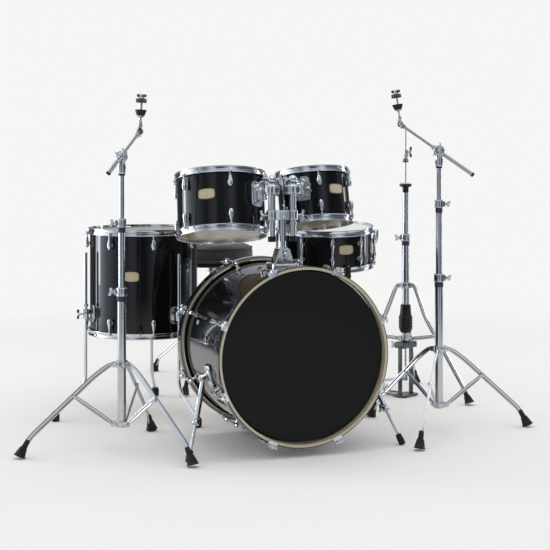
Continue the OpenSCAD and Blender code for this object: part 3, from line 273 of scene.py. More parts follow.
def addPieces(body, slotName, node, pieces, *places):
    # Pieces: the look and the shapes of each name.
    for name, (look, shapes) in pieces.items():
        points, quads, caps = joined(*atEach(shapes, *places))
        mesh = bpy.data.meshes.new(name)
        corners = np.concatenate([quads.ravel(), *caps]).astype(np.int32)
        starts = np.cumsum([0] + [4] * len(quads) + [len(c) for c in caps])[:-1].astype(np.int32)
        mesh.vertices.add(len(points))
        mesh.vertices.foreach_set("co", ((points + kitOrigin) * mm).ravel())
        mesh.loops.add(len(corners))
        mesh.loops.foreach_set("vertex_index", corners)
        mesh.polygons.add(len(starts))
        mesh.polygons.foreach_set("loop_start", starts)
        mesh.update(calc_edges=True)
        mesh.shade_smooth()
        mesh.set_sharp_from_angle(angle=rad(creaseAngle))
        mesh.materials.append(material[look])
        piece = bpy.data.objects.new(name, mesh)
        bpy.context.scene.collection.objects.link(piece)
        piece.modifiers.new("evenNormals", "WEIGHTED_NORMAL").keep_sharp = True
        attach(piece, body)
        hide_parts(node)
    return piece


# Materials. A group puts out values and colours only; the shader stays in its material.
def plug(tree, node, links):
    # Inputs, by name or number, are linked to a socket or set to a value.
    for key, value in dict(links).items():
        socket = node.inputs[key]
        if isinstance(value, bpy.types.NodeSocket):
            tree.links.new(value, socket)
        else:
            socket.default_value = (*value, 1) if socket.type == "RGBA" and len(value) == 3 else value
    return node


def put(tree, kind, links=(), **values):
    node = tree.nodes.new("ShaderNode" + kind)
    for key, value in values.items():
        setattr(node, key, value)
    return plug(tree, node, links)


def maths(tree, operation, *values):
    return put(tree, "Math", enumerate(values), operation=operation).outputs[0]


def vectors(tree, operation, *values):
    node = put(tree, "VectorMath", enumerate(values), operation=operation)
    return node.outputs["Value" if operation in ("LENGTH", "DISTANCE", "DOT_PRODUCT") else "Vector"]


def noise(tree, place, scale, detail=2.0, roughness=0.5, output="Fac"):
    links = {"Vector": place, "Scale": scale, "Detail": detail, "Roughness": roughness}
    return put(tree, "TexNoise", links).outputs[output]


def mapped(tree, value, low, high, toLow=0.0, toHigh=1.0, **values):
    links = {"Value": value, "From Min": low, "From Max": high, "To Min": toLow, "To Max": toHigh}
    return put(tree, "MapRange", links, **values).outputs["Result"]


def blended(tree, factor, low, high, kind="RGBA"):
    a, b, out = (6, 7, 2) if kind == "RGBA" else (2, 3, 0)
    return put(tree, "Mix", {0: factor, a: low, b: high}, data_type=kind).outputs[out]


def newGroup(name, **inputs):
    # A group with these inputs, each at its usual value, and the object's own coordinates.
    group = bpy.data.node_groups.new(name, "ShaderNodeTree")
    for label, value in inputs.items():
        kind = "Float" if isinstance(value, float) else {3: "Vector", 4: "Color"}[len(value)]
        group.interface.new_socket(label, in_out="INPUT", socket_type="NodeSocket" + kind).default_value = value
    given = group.nodes.new("NodeGroupInput").outputs
    group.nodes.new("NodeGroupOutput")
    return group, given, put(group, "TexCoord").outputs["Object"]


def give(group, **outputs):
    for label, socket in outputs.items():
        kind = "Color" if socket.type == "RGBA" else "Float"
        group.interface.new_socket(label, in_out="OUTPUT", socket_type="NodeSocket" + kind)
        group.links.new(socket, group.nodes["Group Output"].inputs[label])
    return group


def blotchGroup():
    # Soft cloudy variation between Low and High, and a fine grain for bump: two noises, one
    # broad and one fine, mixed three to one.
    g, given, place = newGroup("blotches", Scale=20.0, Low=0.1, High=0.3, Fine=900.0)
    broad, fine = noise(g, place, given["Scale"], 4.0), noise(g, place, given["Fine"])
    both = blended(g, 0.25, broad, fine, "FLOAT")
    return give(g, Value=mapped(g, both, 0.33, 0.67, given["Low"], given["High"]), Grain=fine)


def dustGroup():
    # Dust lies where a face looks up, broken by noise: the normal's height, cut at a half,
    # times a cloudy noise, times the amount.
    g, given, place = newGroup("dust", Amount=0.1, Scale=60.0)
    up = put(g, "SeparateXYZ", {"Vector": put(g, "NewGeometry").outputs["Normal"]}).outputs["Z"]
    clouds = noise(g, place, given["Scale"], 6.0, 0.7)
    both = maths(g, "MULTIPLY", mapped(g, up, 0.5, 1.0), mapped(g, clouds, 0.35, 0.75))
    return give(g, Mask=maths(g, "MULTIPLY", both, given["Amount"]))


def plyGroup():
    # Wood plies wound round the bass drum's axis: the distance from the axis drives a fine
    # wave, bent by a slow noise, between two wood colours.
    g, given, place = newGroup("plies", Light=(0.6, 0.45, 0.27, 1), Dark=(0.4, 0.28, 0.15, 1), Centre=(0, 0, 0))
    across = vectors(g, "MULTIPLY", vectors(g, "SUBTRACT", place, given["Centre"]), (1, 0, 1))
    radius, slow = vectors(g, "LENGTH", across), noise(g, place, 30.0, 5.0)
    wave = maths(g, "MULTIPLY", maths(g, "MULTIPLY_ADD", slow, 0.004, radius), 4300.0)
    lines, pores = maths(g, "SINE", wave), noise(g, place, 420.0, 3.0)
    spread = mapped(g, maths(g, "MULTIPLY_ADD", lines, 0.3, pores), 0.15, 0.85)
    return give(g, Color=blended(g, spread, given["Dark"], given["Light"]), Height=spread)


def weaveGroup():
    # Plain weave: the sines of two crossing coordinates multiplied, each broken by noise.
    g, given, place = newGroup("weave", Scale=3200.0)
    wobble = noise(g, place, 180.0, output="Color")
    shifted = vectors(g, "MULTIPLY_ADD", wobble, (0.0006, 0.0006, 0.0006), place)
    parts = put(g, "SeparateXYZ", {"Vector": shifted}).outputs
    slant = maths(g, "MULTIPLY_ADD", parts["Z"], 0.7, parts["Y"])
    waves = [maths(g, "SINE", maths(g, "MULTIPLY", line, given["Scale"])) for line in (parts["X"], slant)]
    return give(g, Value=mapped(g, maths(g, "MULTIPLY", *waves), -1.0, 1.0))


groups = {"blotches": blotchGroup(), "dust": dustGroup(), "plies": plyGroup(), "weave": weaveGroup()}


def useGroup(tree, name, **values):
    node = tree.nodes.new("ShaderNodeGroup")
    node.node_tree = groups[name]
    return plug(tree, node, values).outputs


def makeMaterial(name, colour, second, rough, metallic=0.0, scale=20.0, grain=900.0, bump=0.1, depth=0.0002, coat=0.0,
                 coatRough=0.03, coatIor=1.5, sheen=0.0, specular=0.5, dust=0.0, plies=None, weave=None):
    # Rough is from and to, scale and grain are those of the clouds and of the fine grain,
    # depth is the grain's height in metres.
    made = bpy.data.materials.new(name)
    made.use_nodes = True
    tree = made.node_tree
    clouds = useGroup(tree, "blotches", Scale=scale, Low=rough[0], High=rough[1], Fine=grain)
    tone, relief = blended(tree, mapped(tree, clouds["Value"], *rough), colour, second), clouds["Grain"]
    if plies:
        wood = useGroup(tree, "plies", Light=colour, Dark=second, Centre=plies)
        tone, relief = wood["Color"], wood["Height"]
    if weave:
        relief = useGroup(tree, "weave", Scale=weave)["Value"]
        tone = blended(tree, relief, second, tone)
    if dust:
        tone = blended(tree, useGroup(tree, "dust", Amount=dust)["Mask"], tone, (0.42, 0.4, 0.38))
    normal = put(tree, "Bump", {"Height": relief, "Strength": bump, "Distance": depth}).outputs["Normal"]
    plug(tree, tree.nodes["Principled BSDF"], {
        "Base Color": tone, "Roughness": clouds["Value"], "Normal": normal, "Metallic": metallic, "Coat Weight": coat,
        "Coat Roughness": coatRough, "Coat IOR": coatIor, "Sheen Weight": sheen, "Specular IOR Level": specular})
    return made


looks = {
    "lacquer": dict(colour=(0.003, 0.003, 0.004), second=(0.0045, 0.0045, 0.0055), rough=(0.1, 0.16), coat=0.75,
                    coatRough=0.015, coatIor=1.42, specular=0.1, bump=0.02, grain=400.0, dust=0.02),
    "chrome": dict(colour=(0.6, 0.61, 0.63), second=(0.66, 0.67, 0.69), metallic=1.0, rough=(0.05, 0.13), bump=0.02,
                   dust=0.05),
    "standChrome": dict(colour=(0.5, 0.51, 0.53), second=(0.57, 0.58, 0.6), metallic=1.0, rough=(0.1, 0.2), bump=0.03,
                        dust=0.06),
    "steel": dict(colour=(0.42, 0.42, 0.43), second=(0.52, 0.52, 0.53), metallic=1.0, rough=(0.2, 0.34), bump=0.08),
    "frameSteel": dict(colour=(0.09, 0.092, 0.096), second=(0.14, 0.142, 0.147), metallic=1.0, rough=(0.22, 0.36),
                       bump=0.1),
    "castAluminium": dict(colour=(0.42, 0.43, 0.44), second=(0.5, 0.51, 0.52), metallic=1.0, rough=(0.32, 0.46),
                          bump=0.3, grain=1500.0),
    "rubber": dict(colour=(0.007, 0.007, 0.0072), second=(0.011, 0.011, 0.011), rough=(0.5, 0.68), bump=0.3, dust=0.12,
                   specular=0.3),
    "plastic": dict(colour=(0.022, 0.015, 0.045), second=(0.03, 0.02, 0.06), rough=(0.3, 0.42), bump=0.12),
    "blackPlastic": dict(colour=(0.006, 0.006, 0.007), second=(0.01, 0.01, 0.011), rough=(0.3, 0.45), bump=0.2,
                         dust=0.04, specular=0.3),
    "tanFilm": dict(colour=(0.36, 0.27, 0.16), second=(0.42, 0.32, 0.2), rough=(0.18, 0.3), scale=9.0, bump=0.03),
    "coatedFilm": dict(colour=(0.78, 0.77, 0.73), second=(0.84, 0.83, 0.8), rough=(0.5, 0.7), bump=0.5, grain=2600.0),
    "blackFilm": dict(colour=(0.0035, 0.0035, 0.0039), second=(0.0048, 0.0048, 0.0054), rough=(0.36, 0.44), scale=4.0,
                      bump=0.04, specular=0.2, grain=1800.0),
    "hoopWood": dict(colour=(0.48, 0.43, 0.32), second=(0.39, 0.34, 0.24), rough=(0.3, 0.42), coat=0.5, coatRough=0.12,
                     bump=0.25, depth=0.00015, plies=tuple((kitOrigin + (0, 0, 325)) * mm)),
    "cream": dict(colour=(0.42, 0.37, 0.25), second=(0.5, 0.44, 0.31), rough=(0.25, 0.4), scale=90.0, bump=0.05),
    "gold": dict(colour=(0.5, 0.38, 0.2), second=(0.56, 0.43, 0.24), metallic=1.0, rough=(0.2, 0.35), bump=0.05),
    "felt": dict(colour=(0.03, 0.03, 0.032), second=(0.06, 0.06, 0.06), rough=(0.9, 1.0), scale=600.0, bump=0.9,
                 grain=2500.0, depth=0.0006, sheen=0.4),
    "whiteFelt": dict(colour=(0.62, 0.6, 0.55), second=(0.72, 0.7, 0.66), rough=(0.9, 1.0), scale=600.0, bump=0.9,
                      grain=2500.0, depth=0.0006, sheen=0.4),
    "cloth": dict(colour=(0.03, 0.03, 0.033), second=(0.012, 0.012, 0.014), rough=(0.8, 0.92), bump=0.6, depth=0.0004,
                  weave=3200.0, sheen=0.25),
    "piping": dict(colour=(0.02, 0.02, 0.022), second=(0.032, 0.032, 0.035), rough=(0.4, 0.55), scale=200.0, bump=0.3),
}
material = {name: makeMaterial(name, **look) for name, look in looks.items()}
print("materials made")

# Bass drum: lying along Y, its front hoop's face at y = 0.
bassDrum = dict(radius=278, depth=432, height=325, wall=7, hoopWidth=38, hoopThick=11, overlap=16.5, lugs=8, lugAt=82,
                wingHalf=16)
bassLength = bassDrum["depth"] + 2 * (bassDrum["hoopWidth"] - bassDrum["overlap"])
hoopRadius = bassDrum["radius"] + 6 + bassDrum["hoopThick"]
bassPlace = chain(move(z=bassDrum["height"]), alongY)
bassEnds = [np.eye(4), chain(move(y=bassLength), mirror("y"))]
teardrop = softened([(2.4, -38.5), (5.6, -37.5), (8, -28), (7.6, -19), (5.2, -6), (4.7, 0.2), (3.3, 0.2)], 6, 5)


def lugBody(length):
    # Teardrop, narrow end up, with a ribbed neck ring.
    return joined(lathe(teardrop * (1, length / 38), 32), ring(5.4, 3.2, -2.6, -0.6, 0.5, 32))


def buildBassDrum():
    b = SimpleNamespace(**bassDrum)
    r, width, over = b.radius, b.hoopWidth, b.hoopWidth - b.overlap
    far, inner, rim, out, half = bassLength - over, r - b.wall, hoopRadius, hoopRadius + 9, b.wingHalf
    shell = [(r, over), (r, far), (r - 2, far), (inner, far - 5), (inner, over + 5), (r - 2, over)]
    hoop = [(r + 6, 0), (rim, 0), (rim, width), (r + 6, width)]
    band = [(rim - 2.4, -0.3), (rim - 0.9, -0.3), (rim + 0.4, 1.2), (rim + 0.4, width - 1.2), (rim - 0.9, width + 0.3),
            (rim - 2.4, width + 0.3), (rim - 1.6, width - 3), (rim - 1.6, 3)]
    film = [(30, over - 0.7), (r - 6, over - 0.7), (r - 2, over - 1.6), (r + 1.5, over - 0.2), (r + 1.6, width + 0.5),
            (r + 5.6, width + 0.5), (r + 5.6, width + 8), (r + 0.4, width + 8), (r + 0.3, over + 0.6),
            (r - 6, over + 0.1), (30, over + 0.1)]
    vent = placed(ring(9, 4, r - 1, r + 2, 0.8, 32), move(y=bassLength * 0.7, z=b.height), turn("y", -72))
    patch = placed(disc(32, -0.9, 0.4, 0.4, 48), bassEnds[1], bassPlace, move(y=-32, z=over - 0.9))
    ends = [chain(end, bassPlace) for end in bassEnds]
    addPieces("kit", "shell", "bass_shell", {"bassShell": ("lacquer", [lathe(shell, 160, True)])}, bassPlace)
    addPieces("kit", "chrome", "bass_shell", {"bassVent": ("chrome", [vent])})
    addPieces("kit", "hoop_wood", "bass_hoops", {
        "bassHoops": ("hoopWood", [spun(hoop, 1.6, 3, 160, end, loop=True) for end in ends]),
        "bassHoopBands": ("lacquer", [placed(lathe(band, 160, True), end) for end in ends])})
    addPieces("kit", "head_black", "bass_heads", {
        "bassHeads": ("blackFilm", [spun(film, 2.4, 3, 160, end) for end in ends]),
        "bassBeaterPatch": ("felt", [patch])})
    hook = [(r + 7.6, -0.6), (r + 7.6, -4.4), (rim + 3.6, -4.6), (rim + 4.6, 4), (rim + 4.3, 26), (rim + 0.8, 26.5),
            (rim + 0.8, -0.6)]
    cup = [(4, -7.5), (7.6, -7), (8.6, 0), (8.4, 12), (6.4, 19), (3.4, 19.6)]
    bar = mirrored([(1.6, -15.6), (3.4, -14.6), (3.8, -12), (2.7, -9)], y=-1)
    collar = [(4, -15), (4.6, -13), (4.6, -9.5), (5.8, -8.2), (5.8, -7.4), (3, -7.4)]
    lugs, gaskets, claws, rods = [], [], [], []
    for end in bassEnds:
        for i in range(b.lugs):
            place = chain(end, move(z=b.height), turn("y", -360 / b.lugs * (i + 0.5)))
            onShell = chain(place, move(r, b.lugAt + 26.5), alongX)
            lugs += [placed(lugBody(46), place, move(out, b.lugAt), standing),
                     placed(joined(disc(8.6, 1, 4, 1), disc(5.2, 3, out - r - 5, 0.5)), onShell)]
            gaskets.append(placed(disc(9.2, -0.4, 1.1, 0.3), onShell))
            claws += [cut(hook, 1.6, 3, -half, half, 1.2, place), spun(cup, 2, 3, 28, place, move(out), alongY),
                      placed(block((-4.5, -half + 3, -3.2), (2.5, half - 3, 3.2), 2, 1), place,
                             move(out - 4, 8.5), alongY)]
            rods += [rod(through(place, (out, -9, 0)), through(place, (out, b.lugAt + 14, 0)), 2.9, 16),
                     spun(bar, 1.4, 2, 20, place, move(out, -11.5)),
                     placed(lathe(collar, 24), place, move(out), alongY)]
    addPieces("kit", "chrome", "bass_lugs", {"bassLugs": ("chrome", lugs), "bassGaskets": ("rubber", gaskets)})
    addPieces("kit", "chrome", "bass_claws", {"bassClaws": ("chrome", claws), "bassTensionRods": ("chrome", rods)})


def octagon(width, height, flatWidth, flatHeight):
    # Half sizes of a plate with cut corners, and of its long flats.
    return mirrored([(-width, -flatHeight), (-flatWidth, -height), (flatWidth, -height), (width, -flatHeight)], y=-1)


spurs = dict(angle=-15, along=175, pinOut=24, footX=378, footY=60)


def buildSpurs():
    r, w = bassDrum["radius"], SimpleNamespace(**spurs)
    screw = [(3, 9), (5.5, 8.6), (5.8, 6.5), (6, 5)]
    tip = [(4, -38), (9.6, -37), (10.4, -29), (9.8, -26), (11.2, -24), (11.2, -4), (8.6, 1), (4, 1)]
    brackets, pads = [], []
    for s, end in zip(sides, ("Left", "Right")):
        flip = mirror("x") if s < 0 else np.eye(4)
        place = chain(move(y=w.along, z=bassDrum["height"]), flip, turn("y", -w.angle))
        face = chain(place, move(r + 0.2), alongX)
        pads.append(placed(prism(rounded(79, 50, 13, steps=5), -4, 1.2, 0.6), face))
        brackets += [cut(octagon(38, 24, 25, 13), 6, 4, -3.5, 7, 1.5, face, move(z=1)),
                     *[spun(screw, 1, 3, 20, face, move(x=x)) for x in (-27, 27)],
                     spun([(22, 6), (21, 9), (17.2, 11.4), (16, 11.4)], 2, 3, 40, face),
                     placed(disc(5, 8, w.pinOut + 15.5, 1), face),
                     placed(lathe([(4.5, 35), (8.5, 36), (9, 38), (8.5, 41), (5, 42)], 6), face)]
        pivot, foot = through(place, (r + w.pinOut, 0, 0)), np.array([s * w.footX, w.footY, 0.0])
        knee, u = (pivot + foot) / 2, unit(foot - pivot)
        barrel = aim(pivot, pivot + place[:3, :3] @ (1, 0, 0))
        leg = [placed(ring(15.2, 5.1, -12.4, 12.4, 1.5), barrel), placed(ring(16.2, 15, -9, -6, 0.4), barrel),
               rod(pivot + 10 * u, knee - 12 * u, 9.5, 28), rod(knee - 14 * u, knee, 10.6, 32, 1.5),
               rod(knee + 0.4 * u, knee + 17 * u, 12.6, 32, 2), rod(knee + 16 * u, foot - 26 * u, 5, 20),
               wingBolt(14, 9, move(*(knee + 9 * u)), turn("z", 90 + 40 * s))]
        low = spun(tip, 2, 3, 32, aim(foot, foot + u), move(z=-3))
        low = (np.maximum(low[0], (-1e9, -1e9, 0.02)), low[1], low[2])
        name = "spur_" + end.lower()
        addPieces(name, "chrome", name, {"spur" + end: ("chrome", leg), f"spur{end}Tip": ("rubber", [low])})
    addPieces("kit", "chrome", "spur_brackets", {"spurBrackets": ("chrome", brackets), "spurPads": ("rubber", pads)})


buildBassDrum()
buildSpurs()
print("bass drum and spurs made")

# Drums with steel hoops: axis +Z in their own frame, middle of the shell at the origin.
drumParts = dict(hoopDown=13, lugOut=13, lugLength=38, lugDrop=25, wall=6, segments=128)


def drumHoop(r):
    inLow, inTop = r + 4.8, r + 1.8
    return [(inLow, -13), (r + 10.4, -13), (r + 11, -12.4), (r + 11, -11.6), (r + 10.4, -11.1), (inLow + 3, -11),
            (inLow + 2, -10), (inLow + 2, -3.4), (inTop + 2.1, -1.6), (inTop + 2, 6.6), (inTop + 3.2, 7.9),
            (inTop + 5.4, 7.9), (inTop + 6.1, 8.6), (inTop + 5.9, 9.7), (inTop + 4.8, 10.1), (inTop + 1.2, 10),
            (inTop, 8.8), (inTop, -3.4), (inLow, -4.8)]


def badgeShapes(r, angle, z):
    # A plate bowed above and below with a notch at each corner, wrapped onto the shell: across the
    # plate becomes an angle of that length over the radius. Rings of the outline shrink to the middle.
    upper = mirrored([(29, 10.5), (26.8, 11.4), (26.2, 14.6), (14, 17.2), (0, 18)], x=-1)
    outline = softened(np.concatenate([upper, -upper]), 1.4, 4, True)

    def wrapped(steps):
        rings = []
        for size, lift in steps:
            a = outline[:, 0] * size / r
            rings.append(np.column_stack([(r + lift) * np.cos(a), (r + lift) * np.sin(a), outline[:, 1] * size]))
        return placed(surface(np.stack(rings)), move(z=z), turn("z", angle))

    rim = [(0.97, -0.3), (1.0, 0.1), (1.0, 1.0), (0.965, 1.35), (0.88, 1.3), (0.87, 1.0), (0.5, 1.0), (0.02, 1.0)]
    face = [(0.86, 0.3), (0.86, 1.25), (0.83, 1.4), (0.6, 1.45), (0.35, 1.5), (0.15, 1.5), (0.02, 1.5)]
    return wrapped(rim), wrapped(face)


def rodEnd(r, edge, low):
    # Tension rod from low up through the hoop's flange, its washer and square head.
    z = edge - drumParts["hoopDown"] + 2.1
    washer = [(4.4, 0), (5.6, 0.3), (5.6, 1.2), (4.4, 1.5), (4.2, 3.2), (3, 3.4)]
    return joined(rod((r, 0, low), (r, 0, z + 3), 2.9, 16), placed(lathe(washer, 20), move(r, 0, z)),
                  cut(rounded(6.6, 6.6, 1.2), 0.1, 1, 3, 8.6, 0.8, move(r, 0, z)),
                  placed(disc(8.3, -2.5, -0.2, 0.7, 24), move(r, 0, z)))


def buildDrum(name, node, body, place, radius, depth, count, phase, badge, longLugs=False):
    p, r, half, flip = SimpleNamespace(**drumParts), radius, depth / 2, chain(place, mirror("z"))
    inner, at, ends = r - p.wall, r + p.lugOut, [chain(place, move(z=half)), chain(flip, move(z=half))]
    shell = [(r, -half), (r, half), (r - 2, half), (inner, half - 4), (inner, -half + 4), (r - 2, -half)]
    rim, face = badgeShapes(r, *badge)
    addPieces(body, "shell", node + "_shell", {
        name + "Shell": ("lacquer", [lathe(shell, p.segments, True)]), name + "BadgeRim": ("gold", [rim]),
        name + "BadgeFace": ("cream", [face])}, place)
    hoops = [placed(lathe(drumHoop(r), p.segments, True), e) for e in ends]
    addPieces(body, "chrome", node + "_hoops", {name + "Hoops": ("chrome", hoops)})
    skin = [(r * 0.5, 0.75), (r - 5, 0.75), (r - 0.5, 0.9), (r + 1.1, -0.6), (r + 1.2, -4), (r + 4.3, -4.2),
            (r + 4.4, -9.8), (r + 0.5, -9.8), (r + 0.3, -0.8), (r - 5, 0.05), (r * 0.5, 0.05)]
    skins = [spun(skin, 1.2, 3, p.segments, e) for e in ends]
    if longLugs:
        addPieces(body, "head_white", node + "_heads", {
            name + "TopHead": ("coatedFilm", skins[:1]), name + "Heads": ("tanFilm", skins[1:])})
        h = half - 22
        waist = mirrored([(3.4, -h), (4.8, -h), (7.2, -h * 0.7), (6.8, -h * 0.5), (3.9, -h * 0.2), (3.7, 0)], y=-1)
        bodies = [spun(waist, 5, 4, 28, move(at)), placed(ring(5.2, 3.6, -2.4, 2.4, 0.7, 28), move(at))]
        foot, pad, footZ, rodLow = (7, 3, 0.8, 3.8, 2), 7.6, h * 0.6, h - 4
    else:
        addPieces(body, "head_clear", node + "_heads", {name + "Heads": ("tanFilm", skins)})
        h = half - p.lugDrop
        bodies = [placed(lugBody(p.lugLength), move(at, 0, h))]
        foot, pad, footZ, rodLow = (7.6, 3.6, 1, 4.4, 3), 8.2, h - p.lugLength * 0.6, h - 8
    wide, thick, edge, narrow, low = foot
    onShell = chain(move(r, 0, footZ), alongX)
    foot = placed(joined(disc(wide, 1, thick, edge, 28), disc(narrow, low, at - r - 4, 0.4)), onShell)
    pad, end = placed(disc(pad, -0.3, 1.2, 0.3), onShell), rodEnd(at, half, rodLow)
    lugs, pads, rods = [], [], []
    steps = [turn("z", phase + i * 360 / count) for i in range(count)]
    for e in (place, flip):
        # A long lug's body reaches both ends, so it is made once.
        onSide = [foot] if longLugs and e is flip else [*bodies, foot]
        for shapes, made in ((lugs, onSide), (pads, [pad]), (rods, [end])):
            shapes += [placed(joined(*[placed(shape, step) for step in steps]), e) for shape in made]
    addPieces(body, "chrome", node + "_lugs", {
        name + "Lugs": ("chrome", lugs), name + "LugPads": ("rubber", pads), name + "Rods": ("chrome", rods)})


toms = {
    "tomA": dict(node="tom_a", body="rack_tom_a", side=-1, at=(-160, 400, 804), radius=152.5, depth=203, lean=80,
                 tilt=12.5, phase=-176, badge=-30, badgeUp=17),
    "tomB": dict(node="tom_b", body="rack_tom_b", side=1, at=(198, 427, 824), radius=127, depth=178, lean=92,
                 tilt=11.5, phase=-194, badge=30, badgeUp=14),
}
holder = dict(y=217, top=603, height=61, postIn=40, postRadius=12, pipeHalf=38, blockZ=777, pipeLow=690,
              pipeTop=848, capHeight=31, ballRadius=15, armRadius=6.35)
ballZ = holder["pipeTop"] + holder["capHeight"] + 19


def buildTom(name, node, body, side, at, radius, depth, lean, tilt, phase, badge, badgeUp):
    # Ball in the pipe's socket, bent rod, and the cast bracket with its clamp on the shell.
    h, r, frameOf = SimpleNamespace(**holder), radius, chain(move(*at), turn("z", lean), turn("y", tilt))
    centre = np.array([side * h.pipeHalf, h.y, ballZ], float)
    azimuth = math.degrees(math.atan2(centre[1] - at[1], centre[0] - at[0])) - lean
    outX, outY, _ = polar(r + 22, azimuth)
    elbowZ = (centre[2] - through(frameOf, (outX, outY, 0))[2]) / frameOf[2, 2]
    elbow, foot = through(frameOf, (outX, outY, elbowZ)), through(frameOf, (outX, outY, -14))
    onShell = chain(frameOf, turn("z", azimuth))
    onPlate, onRod = chain(onShell, move(r), turn("z", 90), standing), chain(onShell, move(r + 22))
    toElbow, a = unit(elbow - centre), np.linspace(-1.48, 1.48, 15)
    plate = [(-26, -18), (-18, -24), (18, -24), (26, -18), (26, 52), (17, 62), (-17, 62), (-26, 52)]
    screw = [(3.2, 10), (5, 9.5), (5.2, 7), (5.4, 6)]
    arm = [placed(lathe(h.ballRadius * np.column_stack([np.cos(a), np.sin(a)]), 32), move(*centre)),
           tube([centre, elbow, foot], h.armRadius, 22, 24, 10),
           wingBolt(10, 11, move(*centre), turn("z", lean + 90 * side), move(12)),
           rod(centre + 12 * toElbow, centre + 22 * toElbow, 9, 28, 1.5),
           cut(plate, 6, 4, -3, 8, 1.8, onPlate), placed(prism(rounded(40, 62, 12, (0, 19), 5), 6, 15, 3), onPlate),
           spun([(5, 24), (15, 23), (18, 15), (18, 12)], 3, 4, 40, onPlate, move(0, 38)),
           *[spun(screw, 1, 3, 20, onPlate, move(x, y)) for x in (-14, 14) for y in (-9, 47)],
           spun([(7, -6), (13, -5), (14.6, 0), (14.6, 30), (13, 37), (7, 38)], 3, 4, 36, onRod),
           *[placed(ring(15.4, 13, z, z + 3, 0.8), onRod) for z in (4, 25)],
           placed(block((r + 8, -13, -2), (r + 22, 13, 34), 3, 1), onShell),
           wingBolt(10, 11, onShell, move(r + 22, 13, 16), turn("z", 90))]
    gasket = placed(prism(rounded(55, 89, 9, (0, 19), 4), -3.5, 0.6, 0.4), onPlate)
    addPieces(body, "chrome", node + "_arm", {name + "Arm": ("chrome", arm), name + "ArmPad": ("rubber", [gasket])})
    buildDrum(name, node, body, frameOf, r, depth, 6, phase, (phase + badge, badgeUp))


def buildHolder():
    h = SimpleNamespace(**holder)
    y, top, high, blockZ = h.y, h.top, h.height, h.blockZ
    side = [(-36, -9), (36, -9), (35, 8), (20.5, high - 3), (17, high + 1), (-17, high + 1), (-20.5, high - 3),
            (-35, 8)]
    screw = [(3.5, 14), (6, 13.4), (6.4, 10), (6.6, 9)]
    base = [cut(side, 3, 4, -25, 25, 2.5, move(0, y, top), standing),
            placed(prism(rounded(93, 77, 12, steps=5), -8, 9.5, 2.5), move(0, y, top + 1)),
            placed(ring(17.5, 12.1, high - 2, high + 4, 1.2), move(0, y, top)),
            placed(prism(rounded(22, 30, 6, steps=4), 0, 4, 1.4), move(0, y - 24, top + 30), standing),
            wingBolt(14, 13, move(0, y - 22, top + 48), turn("z", -90)),
            *[spun(screw, 1, 3, 24, move(x, y + b, top)) for x in (-39, 39) for b in (-30, 30)]]
    pad = placed(prism(rounded(97, 81, 13, steps=5), -12, -6.5, 1), move(0, y, top))
    addPieces("kit", "chrome", "holder_base", {"holderBase": ("chrome", base), "holderPad": ("rubber", [pad])})
    post = [rod((0, y, top - h.postIn), (0, y, blockZ), h.postRadius, 40, 1),
            cut(octagon(38, 15, 18, 13), 4, 3, -17, 17, 2.2, move(0, y, blockZ)),
            placed(prism(rounded(27, 27, 6, steps=4), 0, 5, 1.6), move(0, y - 14.5, blockZ), standing),
            placed(lathe([(5, 0), (6.6, 0.6), (6.6, 3.4), (5, 4)], 6), move(0, y - 19, blockZ), standing)]
    cap = [(11.5, 0), (27, 0), (28.6, 1.6), (28.6, 28.5), (27, 30.5), (19.5, 31), (17.4, 33), (17.2, 38.4),
           (15.6, 38.6), (15, 33), (11.5, 31)]
    for s in sides:
        at = move(s * h.pipeHalf, y)
        onTop = chain(at, move(z=h.pipeTop))
        post += [placed(ring(17.6, 12.1, blockZ - 17, blockZ + 17, 2), at),
                 *[placed(ring(18.6, 16.4, blockZ + z, blockZ + z + 3, 0.8), at) for z in (-13, 10)],
                 placed(ring(12, 9.8, h.pipeLow, h.pipeTop + 1, 0.8), at),
                 placed(ring(13.4, 11.4, h.pipeLow + 52, h.pipeLow + 62, 1), at),
                 spun(cap, 0.9, 3, 64, onTop, loop=True),
                 *[placed(ring(29.2, 27, z, z + 1.6, 0.6, 64), onTop) for z in (5, 24)],
                 wingBolt(14, 12, move(s * (h.pipeHalf + 17), y, blockZ), turn("z", 90 - s * 90)),
                 placed(block((22, -7, 8), (33, 7, 24), 2.5, 1.2), onTop, turn("z", 90 - s * 125))]
    caps = [placed(ring(13.4, 9.4, h.pipeLow - 3, h.pipeLow + 16, 1.6), move(s * h.pipeHalf, y)) for s in sides]
    addPieces("tom_holder", "chrome", "holder_post", {
        "holderPost": ("chrome", post), "holderCaps": ("blackPlastic", caps)})


buildHolder()
for name, values in toms.items():
    buildTom(name, **values)
print("tom holder and rack toms made")

floorTom = dict(at=(-305, 909), radius=203, depth=381, height=505, phase=-95, legs=(188, 68, -71), legOut=30,
                bracketZ=-116, legRadius=6.35, footRadius=350)


